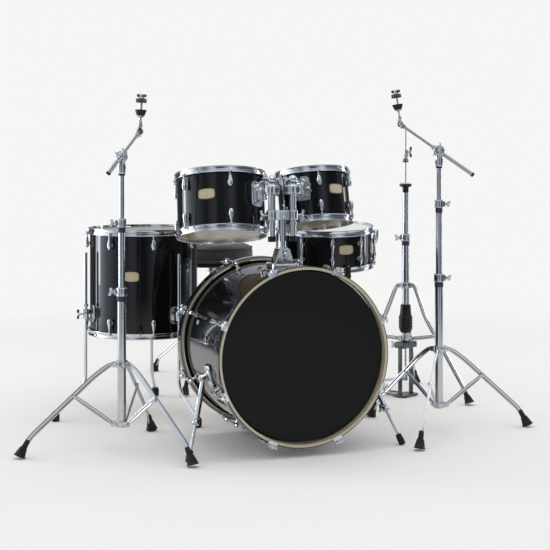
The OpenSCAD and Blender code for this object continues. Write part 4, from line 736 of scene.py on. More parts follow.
def buildFloorTom():
    f = SimpleNamespace(**floorTom)
    place, flat, r, z, out = move(*f.at, f.height), move(*f.at), f.radius, f.bracketZ, f.radius + f.legOut
    buildDrum("floorTom", "floor_tom", "kit", place, r, f.depth, 8, f.phase, (f.phase - 22.5, 30))
    brackets, pads = [], []
    path = [(out, 0, f.height + 112), (out, 0, 118), (f.footRadius - 7, 0, 33)]
    foot = [(9, 0.02), (12.5, 0.02), (15, 5), (15.2, 12), (14.2, 13.5), (15.2, 15), (15.2, 25), (13, 32), (9, 37),
            (6.5, 37.5)]
    for i, angle in enumerate(f.legs, 1):
        at, onFloor = chain(place, turn("z", angle)), chain(flat, turn("z", angle))
        onPlate = chain(at, move(r, 0, z), turn("z", 90), standing)
        pads.append(placed(prism(rounded(43, 64, 12, steps=4), -3.5, 0.8, 0.5), onPlate))
        brackets += [cut(octagon(20, 31, 12, 22), 5, 4, -2.5, 6.5, 1.6, onPlate),
                     placed(block((r + 4, -12, z - 17), (out, 12, z + 17), 3, 1.6), at),
                     placed(ring(14.4, 6.5, z - 18, z + 18, 2.4), at, move(out)),
                     *[placed(ring(15.4, 13, z + b, z + b + 3, 0.8), at, move(out)) for b in (-12, 9)],
                     wingBolt(12, 13, at, move(out + 12, 0, z))]
        collar = ring(10, 6.4, f.height + z + 26, f.height + z + 36, 1.5, 32)
        leg = [placed(tube(path, f.legRadius, 46, 20, 10), onFloor), placed(collar, onFloor, move(out))]
        name = f"floor_tom_leg_{i}"
        addPieces(name, "rod", name, {
            f"floorTomLeg{i}": ("chrome", leg),
            f"floorTomFoot{i}": ("rubber", [spun(foot, 2, 3, 32, onFloor, move(f.footRadius))])})
    addPieces("kit", "chrome", "floor_tom_lugs", {
        "floorTomBrackets": ("chrome", brackets), "floorTomBracketPads": ("rubber", pads)})


buildFloorTom()
print("floor tom made")

# Tripods, tubes and clamps that the stands share. A leg's line is given as radius and height in
# the leg's own upright plane.
stand = dict(legHeight=13, legWider=0.3, braceHeight=12.6, braceWider=0.2, legThick=6, braceThick=5, pivot=28,
             pin=3, sideGap=0.3, eye=7.1, hubHeight=24, collarHeight=20, earRound=9, collarZ=93, baseRadius=14.3,
             midRadius=11.1, topRadius=7.95, wall=1.6, insertHeight=17, clampHeight=29, wingTurn=62, jointRadius=161,
             jointZ=193, hubZ=290, footRadius=338, kneeRadius=92, ankleIn=33, ankleZ=64)
s = SimpleNamespace(**stand)


def strip(path, height, thick, wider, *places):
    # Pressed strip with a sunk rib along both faces.
    h, t = height / 2, thick / 2
    half = [(h, -t + 1.2), (h, t - 1.2), (h - 1.2, t), (2.9, t), (1.9, t - 1.3), (-1.9, t - 1.3), (-2.9, t),
            (-h + 1.2, t)]
    section = half + [(-a, -b) for a, b in half]
    return placed(sweep(path, section, (0, 1, 0), np.column_stack([wider, np.ones(len(path))])), *places)


def legShapes(foot, hubZ, jointR, jointZ, angle):
    ankle, knee, y = foot - s.ankleIn, s.kneeRadius, (s.legThick + s.sideGap) / 2
    kneeZ = jointZ + (jointR - knee) * (jointZ - s.ankleZ) / (ankle - jointR)
    line = [(s.pivot, hubZ), (s.pivot + 12, hubZ + 1), (knee, kneeZ), (ankle, s.ankleZ), (foot - 12, 22)]
    path = softened([(a, y, b) for a, b in line], 26, 8)
    turned = turn("z", angle)
    # The strip is narrow at its pivot and wider from there on.
    wider = 1 + s.legWider * np.clip((path[:, 0] - s.pivot - 4) / 26, 0, 1)
    rivet = lathe([(3, -1.6), (5, -0.6), (5, 0.4), (3, 0.4)], 20)
    steel = [strip(path, s.legHeight, s.legThick, wider, turned),
             placed(ring(s.eye, s.pin + 0.05, -3, 3, 0.8, 28), turned, move(s.pivot, y, hubZ), standing),
             placed(rivet, turned, move(jointR, y + 3, jointZ), standing)]
    # Rubber boot: rings along a curve from the ankle to the floor, ribbed on the neck.
    t = np.linspace(0, 1, 46)
    spine = softened([(ankle + 2, y * 0.5, 59), (foot - 6, y * 0.2, 16), (foot, 0, 0)], 22, 44)[:46]
    spine[:, 2] = np.maximum(spine[:, 2], 0)
    width = 11.3 + 8.2 * t + 0.9 * np.clip((t - 0.72) / 0.2, 0, 1) ** 1.5
    sizes = width + np.where(t < 0.66, 0.9 * np.abs(np.sin(t * math.pi * 9 / 0.66)), 0)
    sizes[0], sizes[1], sizes[-1] = 8.2, 9.6, sizes[-2] - 1.6
    points, quads, caps = sweep(spine, circle(1, 28), (0, 1, 0), sizes)
    points[:, 2] = np.maximum(points[:, 2], 0.02)
    return steel, [placed((points, quads, caps), turned)]


def braceShapes(jointR, jointZ, collarZ, angle):
    y, turned, t = -(s.braceThick + s.sideGap) / 2, turn("z", angle), np.linspace(0, 1, 25)
    ends = np.array([(s.pivot, y, collarZ), (jointR, y, jointZ)], float)
    wider = 1 + s.braceWider * np.clip((0.5 - np.abs(t - 0.5)) / 0.16 - 0.4, 0, 1)
    rivet = lathe([(2.5, -0.4), (5, 0), (5, 1), (3, 2)], 20)
    return [strip(ends[0] + t[:, None] * (ends[1] - ends[0]), s.braceHeight, s.braceThick, wider, turned),
            *[placed(ring(7, 3.05, -2.5, 2.5, 0.8, 28), turned, move(*e), standing) for e in ends],
            placed(rivet, turned, move(jointR, y - 2.5, jointZ), standing)]


def hubShapes(z, legs, thick, shift, height, gap=0.05):
    # A ring on the tube with a pair of ears and a pin for each leg.
    hubR, ear, half = s.pivot - s.legHeight / 2 - 1.5, thick / 2 + s.sideGap, height / 2
    shapes = [ring(hubR, s.baseRadius + gap, z - half, z + half, 1.6)]
    shapes += [ring(hubR + 0.7, hubR - 1, z + d - 1.2, z + d + 1.2, 0.6) for d in (-half + 4, half - 4)]
    a = np.linspace(-math.pi / 2, math.pi / 2, 13)
    round = np.column_stack([s.pivot + s.earRound * np.cos(a), s.earRound * np.sin(a)])
    plate = prism(np.vstack([[(13, -s.earRound)], round, [(13, s.earRound)]]), -1.5, 1.5, 0.7)
    pin = mirrored([(2, -ear - 5), (4.8, -ear - 4.4), (4.8, -ear - 3), (3, -ear - 2.8)], y=-1)
    for angle in legs:
        at = chain(turn("z", angle), move(0, shift, z))
        shapes += [*[placed(plate, at, move(y=e * (ear + 1.5)), standing) for e in sides],
                   placed(lathe(pin, 20), at, move(s.pivot), standing)]
    return shapes


def legHub(z, legs, wing):
    hub = hubShapes(z, legs, s.legThick, (s.legThick + s.sideGap) / 2, s.hubHeight)
    return [*hub, wingBolt(12, 14, turn("z", wing), move(18.5, 0, z), turn("x", s.wingTurn))]


def braceCollar(z, legs):
    return hubShapes(z, legs, s.braceThick, -(s.braceThick + s.sideGap) / 2, s.collarHeight, -0.8)


def pipe(radius, low, high):
    return ring(radius, radius - s.wall, low, high, 0.6)


def tubeShapes(outer, inner, low, z, wing):
    # A tube up to z and the split clamp on it, with its block and a big wing bolt; then the
    # plastic bush in the tube's mouth, with two grip ribs.
    bottom, r, at = z + s.insertHeight, outer + 3.5, turn("z", wing)
    top = bottom + s.clampHeight
    middle = (bottom + top) / 2
    steel = [pipe(outer, low, z), ring(r, inner + 0.05, bottom, top, 1.6),
             *[ring(r + 1, r - 1, a, a + 2.6, 0.8) for a in (bottom + 1.5, top - 4.1)],
             *[placed(block((outer + 0.8, a, bottom + 5), (outer + 11, a + 7, top - 5), 2, 1), at) for a in (-8, 1)],
             placed(rod((outer + 5.5, -11, 0), (outer + 5.5, 11, 0), 4.4, 6), at, move(z=middle)),
             wingBolt(8, 17, at, move(outer + 9, 0, middle), turn("x", s.wingTurn))]
    bush = [ring(outer + 1.2, inner + 0.05, z, z + s.insertHeight, 1),
            *[ring(outer + 2, outer, z + a, z + a + 2.4, 0.7) for a in (3, 10.5)],
            ring(outer - 1.65, inner + 0.05, z - 24, z + 0.5, 0.3)]
    return steel, bush


def tripod(name, node, place, legs, wing, foot, hubZ, jointR, jointZ, collarZ):
    steel, rubber = [], []
    for angle in legs:
        leg, boot = legShapes(foot, hubZ, jointR, jointZ, angle)
        steel += leg + braceShapes(jointR, jointZ, collarZ, angle)
        rubber += boot
    steel += braceCollar(collarZ, legs) + legHub(hubZ, legs, wing)
    addPieces("kit", "stand", node, {name + "Legs": ("standChrome", steel), name + "Boots": ("rubber", rubber)}, place)


def lowerTube(name, node, place, low, clampZ, wing, extra=()):
    steel, bush = tubeShapes(s.baseRadius, s.midRadius, low, clampZ, wing)
    addPieces("kit", "stand", node, {
        name + "Tube": ("standChrome", [*steel, *extra]), name + "Sleeve": ("plastic", bush)}, place)


boomStand = {
    "left": dict(at=(-540, 289), legs=(178, -62, 58), wing=-122, clampWing=160, clampZ=497, upperZ=725, tilterZ=976,
                 plane=-20, up=53, front=104, back=70, post=3),
    "right": dict(at=(598, 228), legs=(-128, -8, 112), wing=52, clampWing=-20, clampZ=512, upperZ=775, tilterZ=996,
                  plane=160, up=35, front=165, back=152, post=8),
}
tilter = dict(disc=19, boomSide=-25, half=11, halfThick=8, postHeight=72, postSide=-4.5, cup=19, sleeveRadius=4.8,
              sleeveHeight=22, boomRadius=5, boomTube=7)
t = SimpleNamespace(**tilter)
toothed = softened([(6, 12.6), (13, 12.6), (15, 11.4), (18, 11), (19, 9.5), (19, 1.6), (18.2, 0), (6, 0)], 0.8, 2)


def topTubeShapes(low, z):
    coneZ, r = z - t.disc - 12, s.topRadius
    socket = [(r - 0.5, -38), (11.2, -38), (12.4, -33), (14.6, -11), (13.4, -3), (12, 1), (8, 4)]
    face, below = chain(move(0, 1, z), alongY), move(z=z - t.disc)
    steel = [pipe(r, low, coneZ), spun(socket, 2, 4, 40, below), placed(ring(13.6, 11, -34, -31.5, 0.8), below),
             placed(lathe(toothed, 48), face), *[placed(ring(19.6, 17, a, a + 1.6, 0.5), face) for a in (2.4, 5.2)],
             block((-10, 1, z - t.disc - 5), (10, 12, z - t.disc + 9), 3, 1.2)]
    return steel, [ring(r + 3.2, r, coneZ - 32, coneZ - 26, 1)]


def boomShapes(z, up, front, back):
    w, centre = t.boomSide, move(z=z)
    face, tipped = chain(centre, move(y=0.7), alongY), chain(centre, turn("y", -up))
    onBoom = chain(tipped, move(y=w), alongX)
    barrel = mirrored([(7.2, -17), (11, -16), (12.4, -12)], y=-1)
    cap = [(6.9, 6 - back), (8.1, 6 - back), (8.1, -back - 1), (6.4, -back - 3), (3, -back - 3.4)]
    steel = [placed(lathe(toothed * (1, -1), 48), face),
             *[placed(ring(19.6, 17, a, a + 1.6, 0.5), face) for a in (-4, -6.8)],
             rod((0, -6, z), (0, 24, z), 4, 20),
             spun([(4, 0), (8.4, 0.5), (8.4, 7), (6, 9)], 1, 2, 28, centre, move(y=14), alongY),
             wingBolt(6, 24, centre, move(y=21), turn("z", 90)), spun(barrel, 2, 3, 36, onBoom),
             *[placed(ring(13.2, 11.5, a, a + 2.4, 0.7), onBoom) for a in (-9, 6.6)],
             placed(block((-9, w + 6, -7.5), (9, -11, 7.5), 2.5, 1.2), tipped),
             wingBolt(7, 19, tipped, move(2, w - 11), turn("z", -90)),
             placed(rod((-back, w, 0), (8, w, 0), t.boomTube, 28), tipped),
             placed(rod((0, w, 0), (front - 15, w, 0), t.boomRadius, 24), tipped),
             placed(disc(8.4, 16, 26, 1.5, 28), onBoom)]
    return steel, [spun(cap, 1.5, 3, 28, onBoom)]


def tilterFixed(up):
    half, tipped = s.sideGap / 2, turn("y", -up)
    return [placed(ring(t.half, 3.05, half, half + t.halfThick, 1, 36), alongY),
            placed(ring(t.half + 0.6, t.half - 1, half + 1, half + 3, 0.5, 36), alongY),
            placed(block((-t.half - 9, half, -6), (-6, half + t.halfThick - 1, 6), 2, 1), tipped),
            spun([(5.2, -22), (7.4, -21), (7.8, -12), (5, -11)], 1.5, 3, 28, tipped, alongX)]


def buildTilter(name, body, place):
    half, post, high, cup = s.sideGap / 2, t.postHeight, t.sleeveHeight, t.cup
    at = move(y=t.postSide)
    top = chain(at, move(z=post + high))
    neck = [(5, 13), (8.6, 14), (8.2, 22), (5.4, 34), (4.6, 37), (3.6, 38)]
    saucer = [(4, post - 27), (6, post - 26.5), (12.8, post - 20.5), (12.8, post - 19.8), (5, post - 19.6)]
    nut = [(4, 14.6), (9.6, 14.8), (9.6, 16.6), (6.8, 17.6), (6.4, 27), (4.4, 29.5), (3, 30)]
    wings = mirrored([(-5, 18), (-14, 18.5), (-17.5, 23), (-16, 29), (-11, 29.5), (-6.5, 24)], x=-1)
    steel = [placed(ring(t.half, 2, -half - t.halfThick, -half, 1, 36), alongY),
             placed(ring(t.half + 0.6, t.half - 1, -half - 3, -half - 1, 0.5, 36), alongY),
             rod((0, -11, 0), (0, 13, 0), 3, 20), wingBolt(3, 13, move(y=10), turn("z", 90)),
             block((-6.5, -half - t.halfThick, 4), (6.5, -half, 17), 2, 1), spun(neck, 4, 4, 32, at),
             placed(rod((0, 0, 34), (0, 0, post + high + 30), 3.9, 20), at), placed(lathe(saucer, 40), at),
             placed(ring(t.sleeveRadius, 3.9, post - 1, post + high, 0.4, 28), at), spun(nut, 1.2, 3, 32, top),
             cut(wings, 3, 4, -2.3, 2.3, 1, top, standing)]
    bowl = [(12.6, post - 19.8), (13.4, post - 19), (cup, post - 3), (cup, post), (t.sleeveRadius + 0.3, post)]
    felt = [(5, 0.2), (cup - 2, 0.2), (cup - 1, 1.2), (cup - 1, 12.6), (cup - 2.2, 14.2), (5, 14.2)]
    addPieces(body, "stand", body, {
        name + "Tilter": ("standChrome", steel), name + "Cup": ("blackPlastic", [spun(bowl, 1, 2, 48, at)]),
        name + "Felt": ("felt", [spun(felt, 1.4, 3, 48, top)])}, place)


def buildBoomStand(side, at, legs, wing, clampWing, clampZ, upperZ, tilterZ, plane, up, front, back, post):
    place, name, base = move(*at), side + "Stand", side + "_stand_base"
    if side == "right":
        tripod(name, base, place, legs, wing, s.footRadius, s.hubZ, s.jointRadius, s.jointZ, s.collarZ)
        lowerTube(name, base, place, s.collarZ - 12, clampZ, clampWing)
    else:
        # This stand folds, so its hub, legs and braces are bodies of their own.
        lowerTube(name, base, place, s.collarZ - 12, clampZ, clampWing, braceCollar(s.collarZ, legs))
        hub = legHub(s.hubZ, legs, wing)
        addPieces("left_hub", "stand", "left_stand_hub", {name + "Hub": ("standChrome", hub)}, place)
        for i, angle in enumerate(legs, 1):
            steel, rubber = legShapes(s.footRadius, s.hubZ, s.jointRadius, s.jointZ, angle)
            brace = braceShapes(s.jointRadius, s.jointZ, s.collarZ, angle)
            leg, strut = f"left_leg_{i}", f"left_brace_{i}"
            addPieces(leg, "stand", leg, {
                f"leftLeg{i}": ("standChrome", steel), f"leftBoot{i}": ("rubber", rubber)}, place)
            addPieces(strut, "stand", strut, {f"leftBrace{i}": ("standChrome", brace)}, place)
    steel, bush = tubeShapes(s.midRadius, s.topRadius, clampZ - 150, upperZ, clampWing)
    addPieces(side + "_mid_tube", "stand", side + "_stand_mid_tube", {
        name + "MidTube": ("standChrome", steel), name + "MidSleeve": ("plastic", bush)}, place)
    top = chain(place, turn("z", plane))
    steel, stop = topTubeShapes(upperZ - 120, tilterZ)
    addPieces(side + "_top_tube", "stand", side + "_stand_top_tube", {
        name + "TopTube": ("standChrome", steel), name + "TopStop": ("blackPlastic", stop)}, top)
    steel, cap = boomShapes(tilterZ, up, front, back)
    end = chain(top, move(front * math.cos(rad(up)), t.boomSide, tilterZ + front * math.sin(rad(up))))
    boom, steel = side + "_boom", atEach(steel, top) + atEach(tilterFixed(up), end)
    addPieces(boom, "stand", boom, {
        side + "Boom": ("standChrome", steel), side + "BoomCap": ("rubber", atEach(cap, top))})
    buildTilter(side, "left_cymbal_tilter" if side == "left" else boom, chain(end, turn("y", post)))


for side, values in boomStand.items():
    buildBoomStand(side, **values)
print("boom stands made")

snare = dict(at=(374, 750), radius=178, depth=140, height=628, phase=-103.7, tilt=4, tiltTo=-110, hinge=470, lugs=10,
             legs=(-90, 30, 150), foot=235, hubZ=250, hubTurn=90, jointR=120, jointZ=150, collarZ=76, tubeLow=66,
             clampZ=330, clampTurn=-30, tubeTop=436, wires=11, wireTurns=96, wireGap=4)


def coil(radius, turns, steps, low, high):
    # A point that goes round the Z axis and up it at a steady rate.
    t = np.linspace(0, 1, turns * steps + 1)
    a = t * turns * 2 * math.pi
    return np.column_stack([radius * np.cos(a), radius * np.sin(a), low + t * (high - low)])


def buildSnare():
    n = SimpleNamespace(**snare)
    r, half, hinge, top, place, turned = n.radius, n.depth / 2, n.hinge, n.tubeTop, move(*n.at), turn("z", n.tiltTo)
    drum = chain(move(*n.at, n.height), turned, turn("y", n.tilt), turn("z", -n.tiltTo))
    at = chain(drum, turn("z", n.phase + 90))
    buildDrum("snare", "snare", "snare_drum", drum, r, n.depth, n.lugs, n.phase, (n.phase + 18, 8), True)
    # Throw-off and butt plate, bent to the shell, with their screws and the tension knob.
    body = [(r - 0.5, -38), (r + 7, -40), (r + 15, -30), (r + 15.4, 6), (r + 14, 22), (r + 8, 26), (r - 0.5, 26)]
    butt = [(r - 0.5, -36), (r + 6, -38), (r + 11, -28), (r + 10, -8), (r + 6, -4), (r - 0.5, -4)]
    screw = lathe([(4.6, -1), (4.6, 1.6), (3.4, 2.6), (1.6, 2.6)], 20)
    knob = [(2.5, 0), (6.5, 0.5), (7, 9), (5, 11), (2.5, 11.4)]
    strainer = [cut(body, 3, 4, -12.5, 12.5, 1.6, at, standing),
                cut(butt, 3, 4, -12.5, 12.5, 1.6, at, turn("z", 180), standing),
                *[placed(screw, at, turn("z", angle), move(x, y, z), alongX)
                  for angle, x, z in ((0, r + 15, -20), (180, r + 10.5, -22)) for y in (-6, 6)],
                spun(knob, 1.2, 3, 24, at, move(r + 9, 0, -49)),
                placed(rod((0, 0, -42), (0, 0, -36), 3, 16), at, move(r + 9))]
    # Coiled wires between two end plates, and the straps that pull them.
    low = -half - 2.2
    wire = sweep(np.roll(coil(0.75, n.wireTurns, 8, 38 - r, r - 38), 1, 1), circle(0.32, 5))
    section = [(-0.35, -9), (0.35, -9), (0.35, 9), (-0.35, 9)]
    wires = [placed(wire, at, move(0, n.wireGap * (i - n.wires // 2), low)) for i in range(n.wires)]
    wires += [placed(prism(rounded(9, 47, 2), -0.8, 0.8, 0.3), at, move(e * (r - 34), 0, low)) for e in sides]
    for e in sides:
        strap = [(e * (r - 30), 0, low + 0.4), (e * (r - 2), 0, low - 1.6), (e * (r + 6.5), 0, low - 2),
                 (e * (r + 8.5), 0, -40)]
        wires.append(placed(sweep(softened(strap, 4, 4), section, (0, 1, 0)), at))
    addPieces("snare_drum", "chrome", "snare_strainer", {
        "strainer": ("chrome", strainer), "snareWires": ("steel", wires)})
    pin = mirrored([(3, -18), (5, -17.6), (5, -15.4), (3, -15.2)], y=-1)
    ear = [(r + 4, 8), (r + 16, 7), (r + 24, 14), (r + 25, 28), (r + 19, 30), (r + 6, 20)]
    paddle = mirrored([(0, -16.5), (22, -16.5), (40, -11), (42, 0)], y=-1)
    lever = [placed(lathe(pin, 24), at, move(r + 10, 0, 14), alongY),
             *[cut(ear, 4, 4, -1.4, 1.4, 0.6, at, move(y=e * 15.5), standing) for e in sides],
             cut(paddle, 5, 4, -1.8, 1.8, 1, at, move(r + 23, 0, 19), turn("y", -84))]
    addPieces("strainer_lever", "chrome", "strainer_lever", {"strainerLever": ("chrome", lever)})
    tripod("snareStand", "snare_stand_base", place, n.legs, n.hubTurn, n.foot, n.hubZ, n.jointR, n.jointZ, n.collarZ)
    ear = [(-13, -26), (13, -26), (13, 8), (9, 13), (-9, 13), (-13, 8)]
    lowerTube("snareStand", "snare_stand_base", place, n.tubeLow, n.clampZ, n.clampTurn, [
        pipe(s.midRadius, 200, top), ring(13.4, 8, top - 4, top + 14, 1.5),
        placed(block((-13, -16.5, top + 4), (13, 16.5, top + 12), 2, 1), turned),
        *[cut(ear, 4, 4, -3, 3, 1, turned, move(0, e * 13.5, hinge), standing) for e in sides]])
    # Tilting cradle with three padded arms under the bottom hoop.
    tip, low, hub, hinged = r + 15, -half, hinge - n.height, chain(place, turned)
    pin = mirrored([(5, -24), (8, -23), (8, -17.5), (5, -17)], y=-1)
    arms = [placed(block((-10, -9.8, hinge - 14), (10, 9.8, hinge + 42), 3, 1.4), hinged),
            placed(lathe(pin, 28), hinged, move(z=hinge), alongY),
            wingBolt(8, 12, hinged, move(0, 20, hinge), turn("z", 90)),
            spun([(8, 30), (20, 32), (22, 36), (22, 45), (19, 48), (8, 49)], 2, 3, 40, drum, move(z=hub)),
            spun([(6, 49), (12, 50), (12.5, 58), (6, 60)], 2, 3, 10, drum, move(z=hub))]
    hook = [(tip - 15, low - 28), (tip + 6.4, low - 28), (tip + 7, low + 18), (tip - 3, low + 18),
            (tip - 3.3, low - 10.6), (tip - 15, low - 10.6)]
    line = [(12, 0, hub + 40), (tip, 0, low - 24), (tip, 0, low + 20)]
    ribs = [prism(rounded(23, 2.4, 1, (tip - 4, low - z)), -10, 10, 0.6) for z in (16, 20.5, 25)]
    pads = []
    for i in range(3):
        turnTo = chain(drum, turn("z", n.phase + 18 + 120 * i))
        arms.append(placed(tube(line, 5.4, 16, 20), turnTo))
        pads += [cut(hook, 3, 4, -9, 9, 2, turnTo, standing), *atEach(ribs, turnTo, standing)]
    addPieces("snare_drum", "basket", "snare_stand_basket", {
        "snareCradle": ("chrome", arms), "snareCradlePads": ("rubber", pads)})


buildSnare()
print("snare drum and its stand made")

hat = dict(at=(779, 881), legs=(-60, 56, 177), foot=305, hubZ=450, hubTurn=-150, jointR=141, jointZ=255, collarZ=236,
           tubeLow=222, clampZ=612, clampTurn=160, seatZ=862, railTop=210, railHalf=36, rodTop=1090, rodRadius=3.2,
           clutchZ=962, board=117, boardLength=250, boardWidth=60, heelZ=19, rise=46)


def boardShapes(length, width, rise):
    # Footboard from its heel pin towards -X: a plate with a raised rim, grip bars and studs.
    w, long = width / 2, length - 60
    outline = softened([(3, -w + 1), (3, w - 1), (-length * 0.4, w + 1), (-length + 6, w - 4), (-length, w - 12),
                        (-length, -w + 12), (-length + 6, -w + 4), (-length * 0.4, -w - 1)], 9, 5, True)
    rim = np.column_stack([outline * (0.975, 0.93) + (-3, 0), np.full(len(outline), 6.6)])
    t = np.roll(rim, -1, 0) - np.roll(rim, 1, 0)
    rim = rim[np.linalg.norm(t, axis=1) > 1e-6]
    stud = spun([(1.5, 5.8), (3.6, 6.2), (3.4, 7.6), (1.5, 8.1)], 0.6, 2, 14)
    shapes = [prism(outline, 2, 6.4, 1.2), sweep(rim, circle(1.7, 10), (0, 0, 1), None, True)]
    for i in range(9):
        x = -34 - i * long / 8.6
        shapes.append(prism(rounded(6, width - (24 if i > 6 else 20), 2.6, (x, 0), 4), 5.5, 8.2, 1))
        if i < 8:
            shapes += [placed(stud, move(x - long / 17.2, y)) for y in (-15, -5, 5, 15)]
    tilt = turn("y", math.degrees(math.asin(rise / length)))
    return [*atEach(shapes, tilt), placed(ring(8, 3.1, -w, w, 1.2, 32), alongY)]


def chainLinks(p, q, width=7.0, pitch=8.0):
    # Roller chain: side plates and rollers between two points.
    length, line = np.linalg.norm(np.subtract(q, p)), aim(p, q)
    count = max(2, int(round(length / pitch)))
    step = length / count
    e = step * 0.62
    plate = cut([(-3, -e), (3, -e), (2, 0), (3, e), (-3, e), (-2, 0)], 1.6, 3, -0.5, 0.5, 0.2)
    roller = disc(1.9, -width / 2, width / 2, 0.4, 12)
    shapes = []
    for i in range(count):
        half = width / 2 - (1.1 if i % 2 else 0)
        shapes += [placed(plate, line, move(e * half, 0, step * (i + 0.5)), turn("z", 90), standing) for e in sides]
    return shapes + [placed(roller, line, move(z=min(i * step, length)), alongX) for i in range(count + 1)]


def footPad(radius, x, y):
    return spun([(5, 0.02), (radius, 0.02), (radius - 0.6, 3.4), (5, 3.5)], 0.8, 2, 24, move(x, y))


def buildHat():
    h = SimpleNamespace(**hat)
    half, top, long, seat, z, place, forward = (
        h.railHalf, h.railTop, h.boardLength, h.seatZ, h.clutchZ, move(*h.at), turn("z", h.board))
    at = chain(place, forward)
    tripod("hat", "hat_base", place, h.legs, h.hubTurn, h.foot, h.hubZ, h.jointR, h.jointZ, h.collarZ)
    ear = [(long, 4), (long + 16, 4), (long + 16, 20), (long + 11, 26), (long + 5, 26), (long, 20)]
    pin = mirrored([(2, -39), (4.6, -38.6), (4.6, -36), (3, -35.6)], y=-1)
    steel = [block((-26, -half - 8, top - 12), (26, half + 8, top + 12), 5, 2.5),
             ring(18, 14, top + 11, top + 20, 1.5)]
    for e in sides:
        steel += [prism(rounded(18, 8, 3, (0, e * half)), 10, top - 10, 1),
                  block((20, e * 30 - 4, 3), (long + 4, e * 30 + 4, 8), 2, 1),
                  cut(ear, 4, 4, -3, 3, 0.8, move(0, e * 35), standing)]
    steel += [block((-30, -half - 14, 3), (30, half + 14, 10), 8, 1.6),
              block((long, -38, 3), (long + 36, 38, 8), 8, 1.4),
              placed(lathe(pin, 20), move(long + 8, 0, h.heelZ), alongY)]
    addPieces("kit", "stand", "hat_base", {"hatFrame": ("frameSteel", steel)}, at)
    bolt = wingBolt(8, 9, forward, move(24, half + 2, top))
    lowerTube("hat", "hat_base", place, h.tubeLow, h.clampZ, h.clampTurn, [bolt])
    housing = [(14.4, 258), (20, 258), (27, 275), (27, 325), (24, 329), (23, 334), (20, 372), (14.4, 373)]
    ribs = [ring(28.2, 25, a, a + 5, 1.4) for a in (280, 292, 304, 316)]
    feet = [footPad(7.6, x, e * 32) for x in (-20, long + 26) for e in sides]
    addPieces("kit", "stand", "hat_base", {
        "hatHousing": ("blackPlastic", [spun(housing, 3, 4, 44, loop=True), *ribs])}, place)
    addPieces("kit", "stand", "hat_base", {"hatPads": ("rubber", feet)}, at)
    # Upper tube, seat cup and felt.
    upper = [pipe(s.midRadius, h.clampZ - 180, seat - 36), ring(12, 4, seat - 16.5, seat - 13, 0.8)]
    cup = [(3.9, seat - 36), (11, seat - 36), (12.4, seat - 32), (12.4, seat - 20), (11, seat - 17), (14, seat - 16),
           (25, seat - 9), (25, seat - 2.4), (3.9, seat - 2.4)]
    felt = [(3.9, seat - 2), (21.6, seat - 2), (23, seat), (22.2, seat + 4), (3.9, seat + 4)]
    addPieces("hat_tube", "stand", "hat_tube", {
        "hatUpperTube": ("standChrome", upper), "hatCup": ("blackPlastic", [spun(cup, 1.6, 3, 44, loop=True)]),
        "hatSeatFelt": ("whiteFelt", [spun(felt, 1.4, 3, 44, loop=True)])}, place)
    # Pull rod with its fork and the clutch.
    toeZ, toeX = h.heelZ + h.rise, long + 8 - math.sqrt((long - 2) ** 2 - h.rise**2)
    fork = [(-5, -1), (5, -1), (5.6, 20), (4.6, 30), (-4.6, 30), (-5.6, 20)]
    pin = mirrored([(2.4, -9), (3.8, -8.6), (3.8, -7.6), (2.4, -7.4)], y=-1)
    pull = [rod((0, 0, 92), (0, 0, h.rodTop), h.rodRadius, 20, 1),
            *[cut(fork, 2.4, 3, -1.6, 1.6, 0.6, forward, move(0, e * 5.8, toeZ), standing) for e in sides],
            placed(block((-5, -7.4, toeZ + 20), (5, 7.4, toeZ + 32), 2, 1), forward),
            placed(lathe(pin, 16), forward, move(0, 0, toeZ + 6), alongY)]
    clutch = [(3.25, z), (7.4, z), (8.2, z + 2), (8.2, z + 11), (11, z + 12.5), (11.4, z + 19), (8.4, z + 21),
              (8.4, z + 36), (6.6, z + 38.5), (3.25, z + 38.5)]
    metal = [spun(clutch, 1.2, 3, 36, loop=True), wingBolt(7, 17, turn("z", -20), move(7, 0, z + 28)),
             ring(9.2, 7.6, z + 3, z + 8, 0.8)]
    felts = [spun([(3.3, a), (11.4, a), (12.2, a + 2), (12, a + 5.4), (3.3, a + 6.4)], 1.2, 3, 36, loop=True)
             for a in (z - 14, z - 7)]
    addPieces("hat_rod", "rod", "hat_rod", {
        "hatRod": ("steel", pull), "hatClutch": ("standChrome", metal), "hatClutchFelts": ("felt", felts)}, place)
    # Footboard with its tongue, hung from the rod by a chain.
    tongue = [(-8, toeZ - 1.5), (toeX + 8, toeZ - 3.5), (toeX + 8, toeZ + 3), (toeX, toeZ + 13.5), (-4, toeZ + 13.8),
              (-8, toeZ + 10)]
    board = [*atEach(boardShapes(long - 2, h.boardWidth, h.rise), move(long + 8, 0, h.heelZ)),
             *[cut(tongue, 2, 3, -0.9, 0.9, 0.5, move(0, e * 2.5), standing) for e in sides]]
    links = chainLinks((0, 0, toeZ + 30), (0, 0, h.tubeLow))
    addPieces("hat_footboard", "board", "hat_footboard", {"hatFootboard": ("castAluminium", board)}, at)
    addPieces("hat_rod", "rod", "hat_rod", {"hatChain": ("steel", links)}, at)


buildHat()
print("hi-hat stand made")

throne = dict(at=(143, 1492), legs=(-124, -4, 116), foot=375, hubZ=270, hubTurn=-60, jointR=175, jointZ=178,
              collarZ=84, tubeLow=72, clampZ=380, clampTurn=60, seatRadius=187.5, seatHeight=88, seatTop=606)


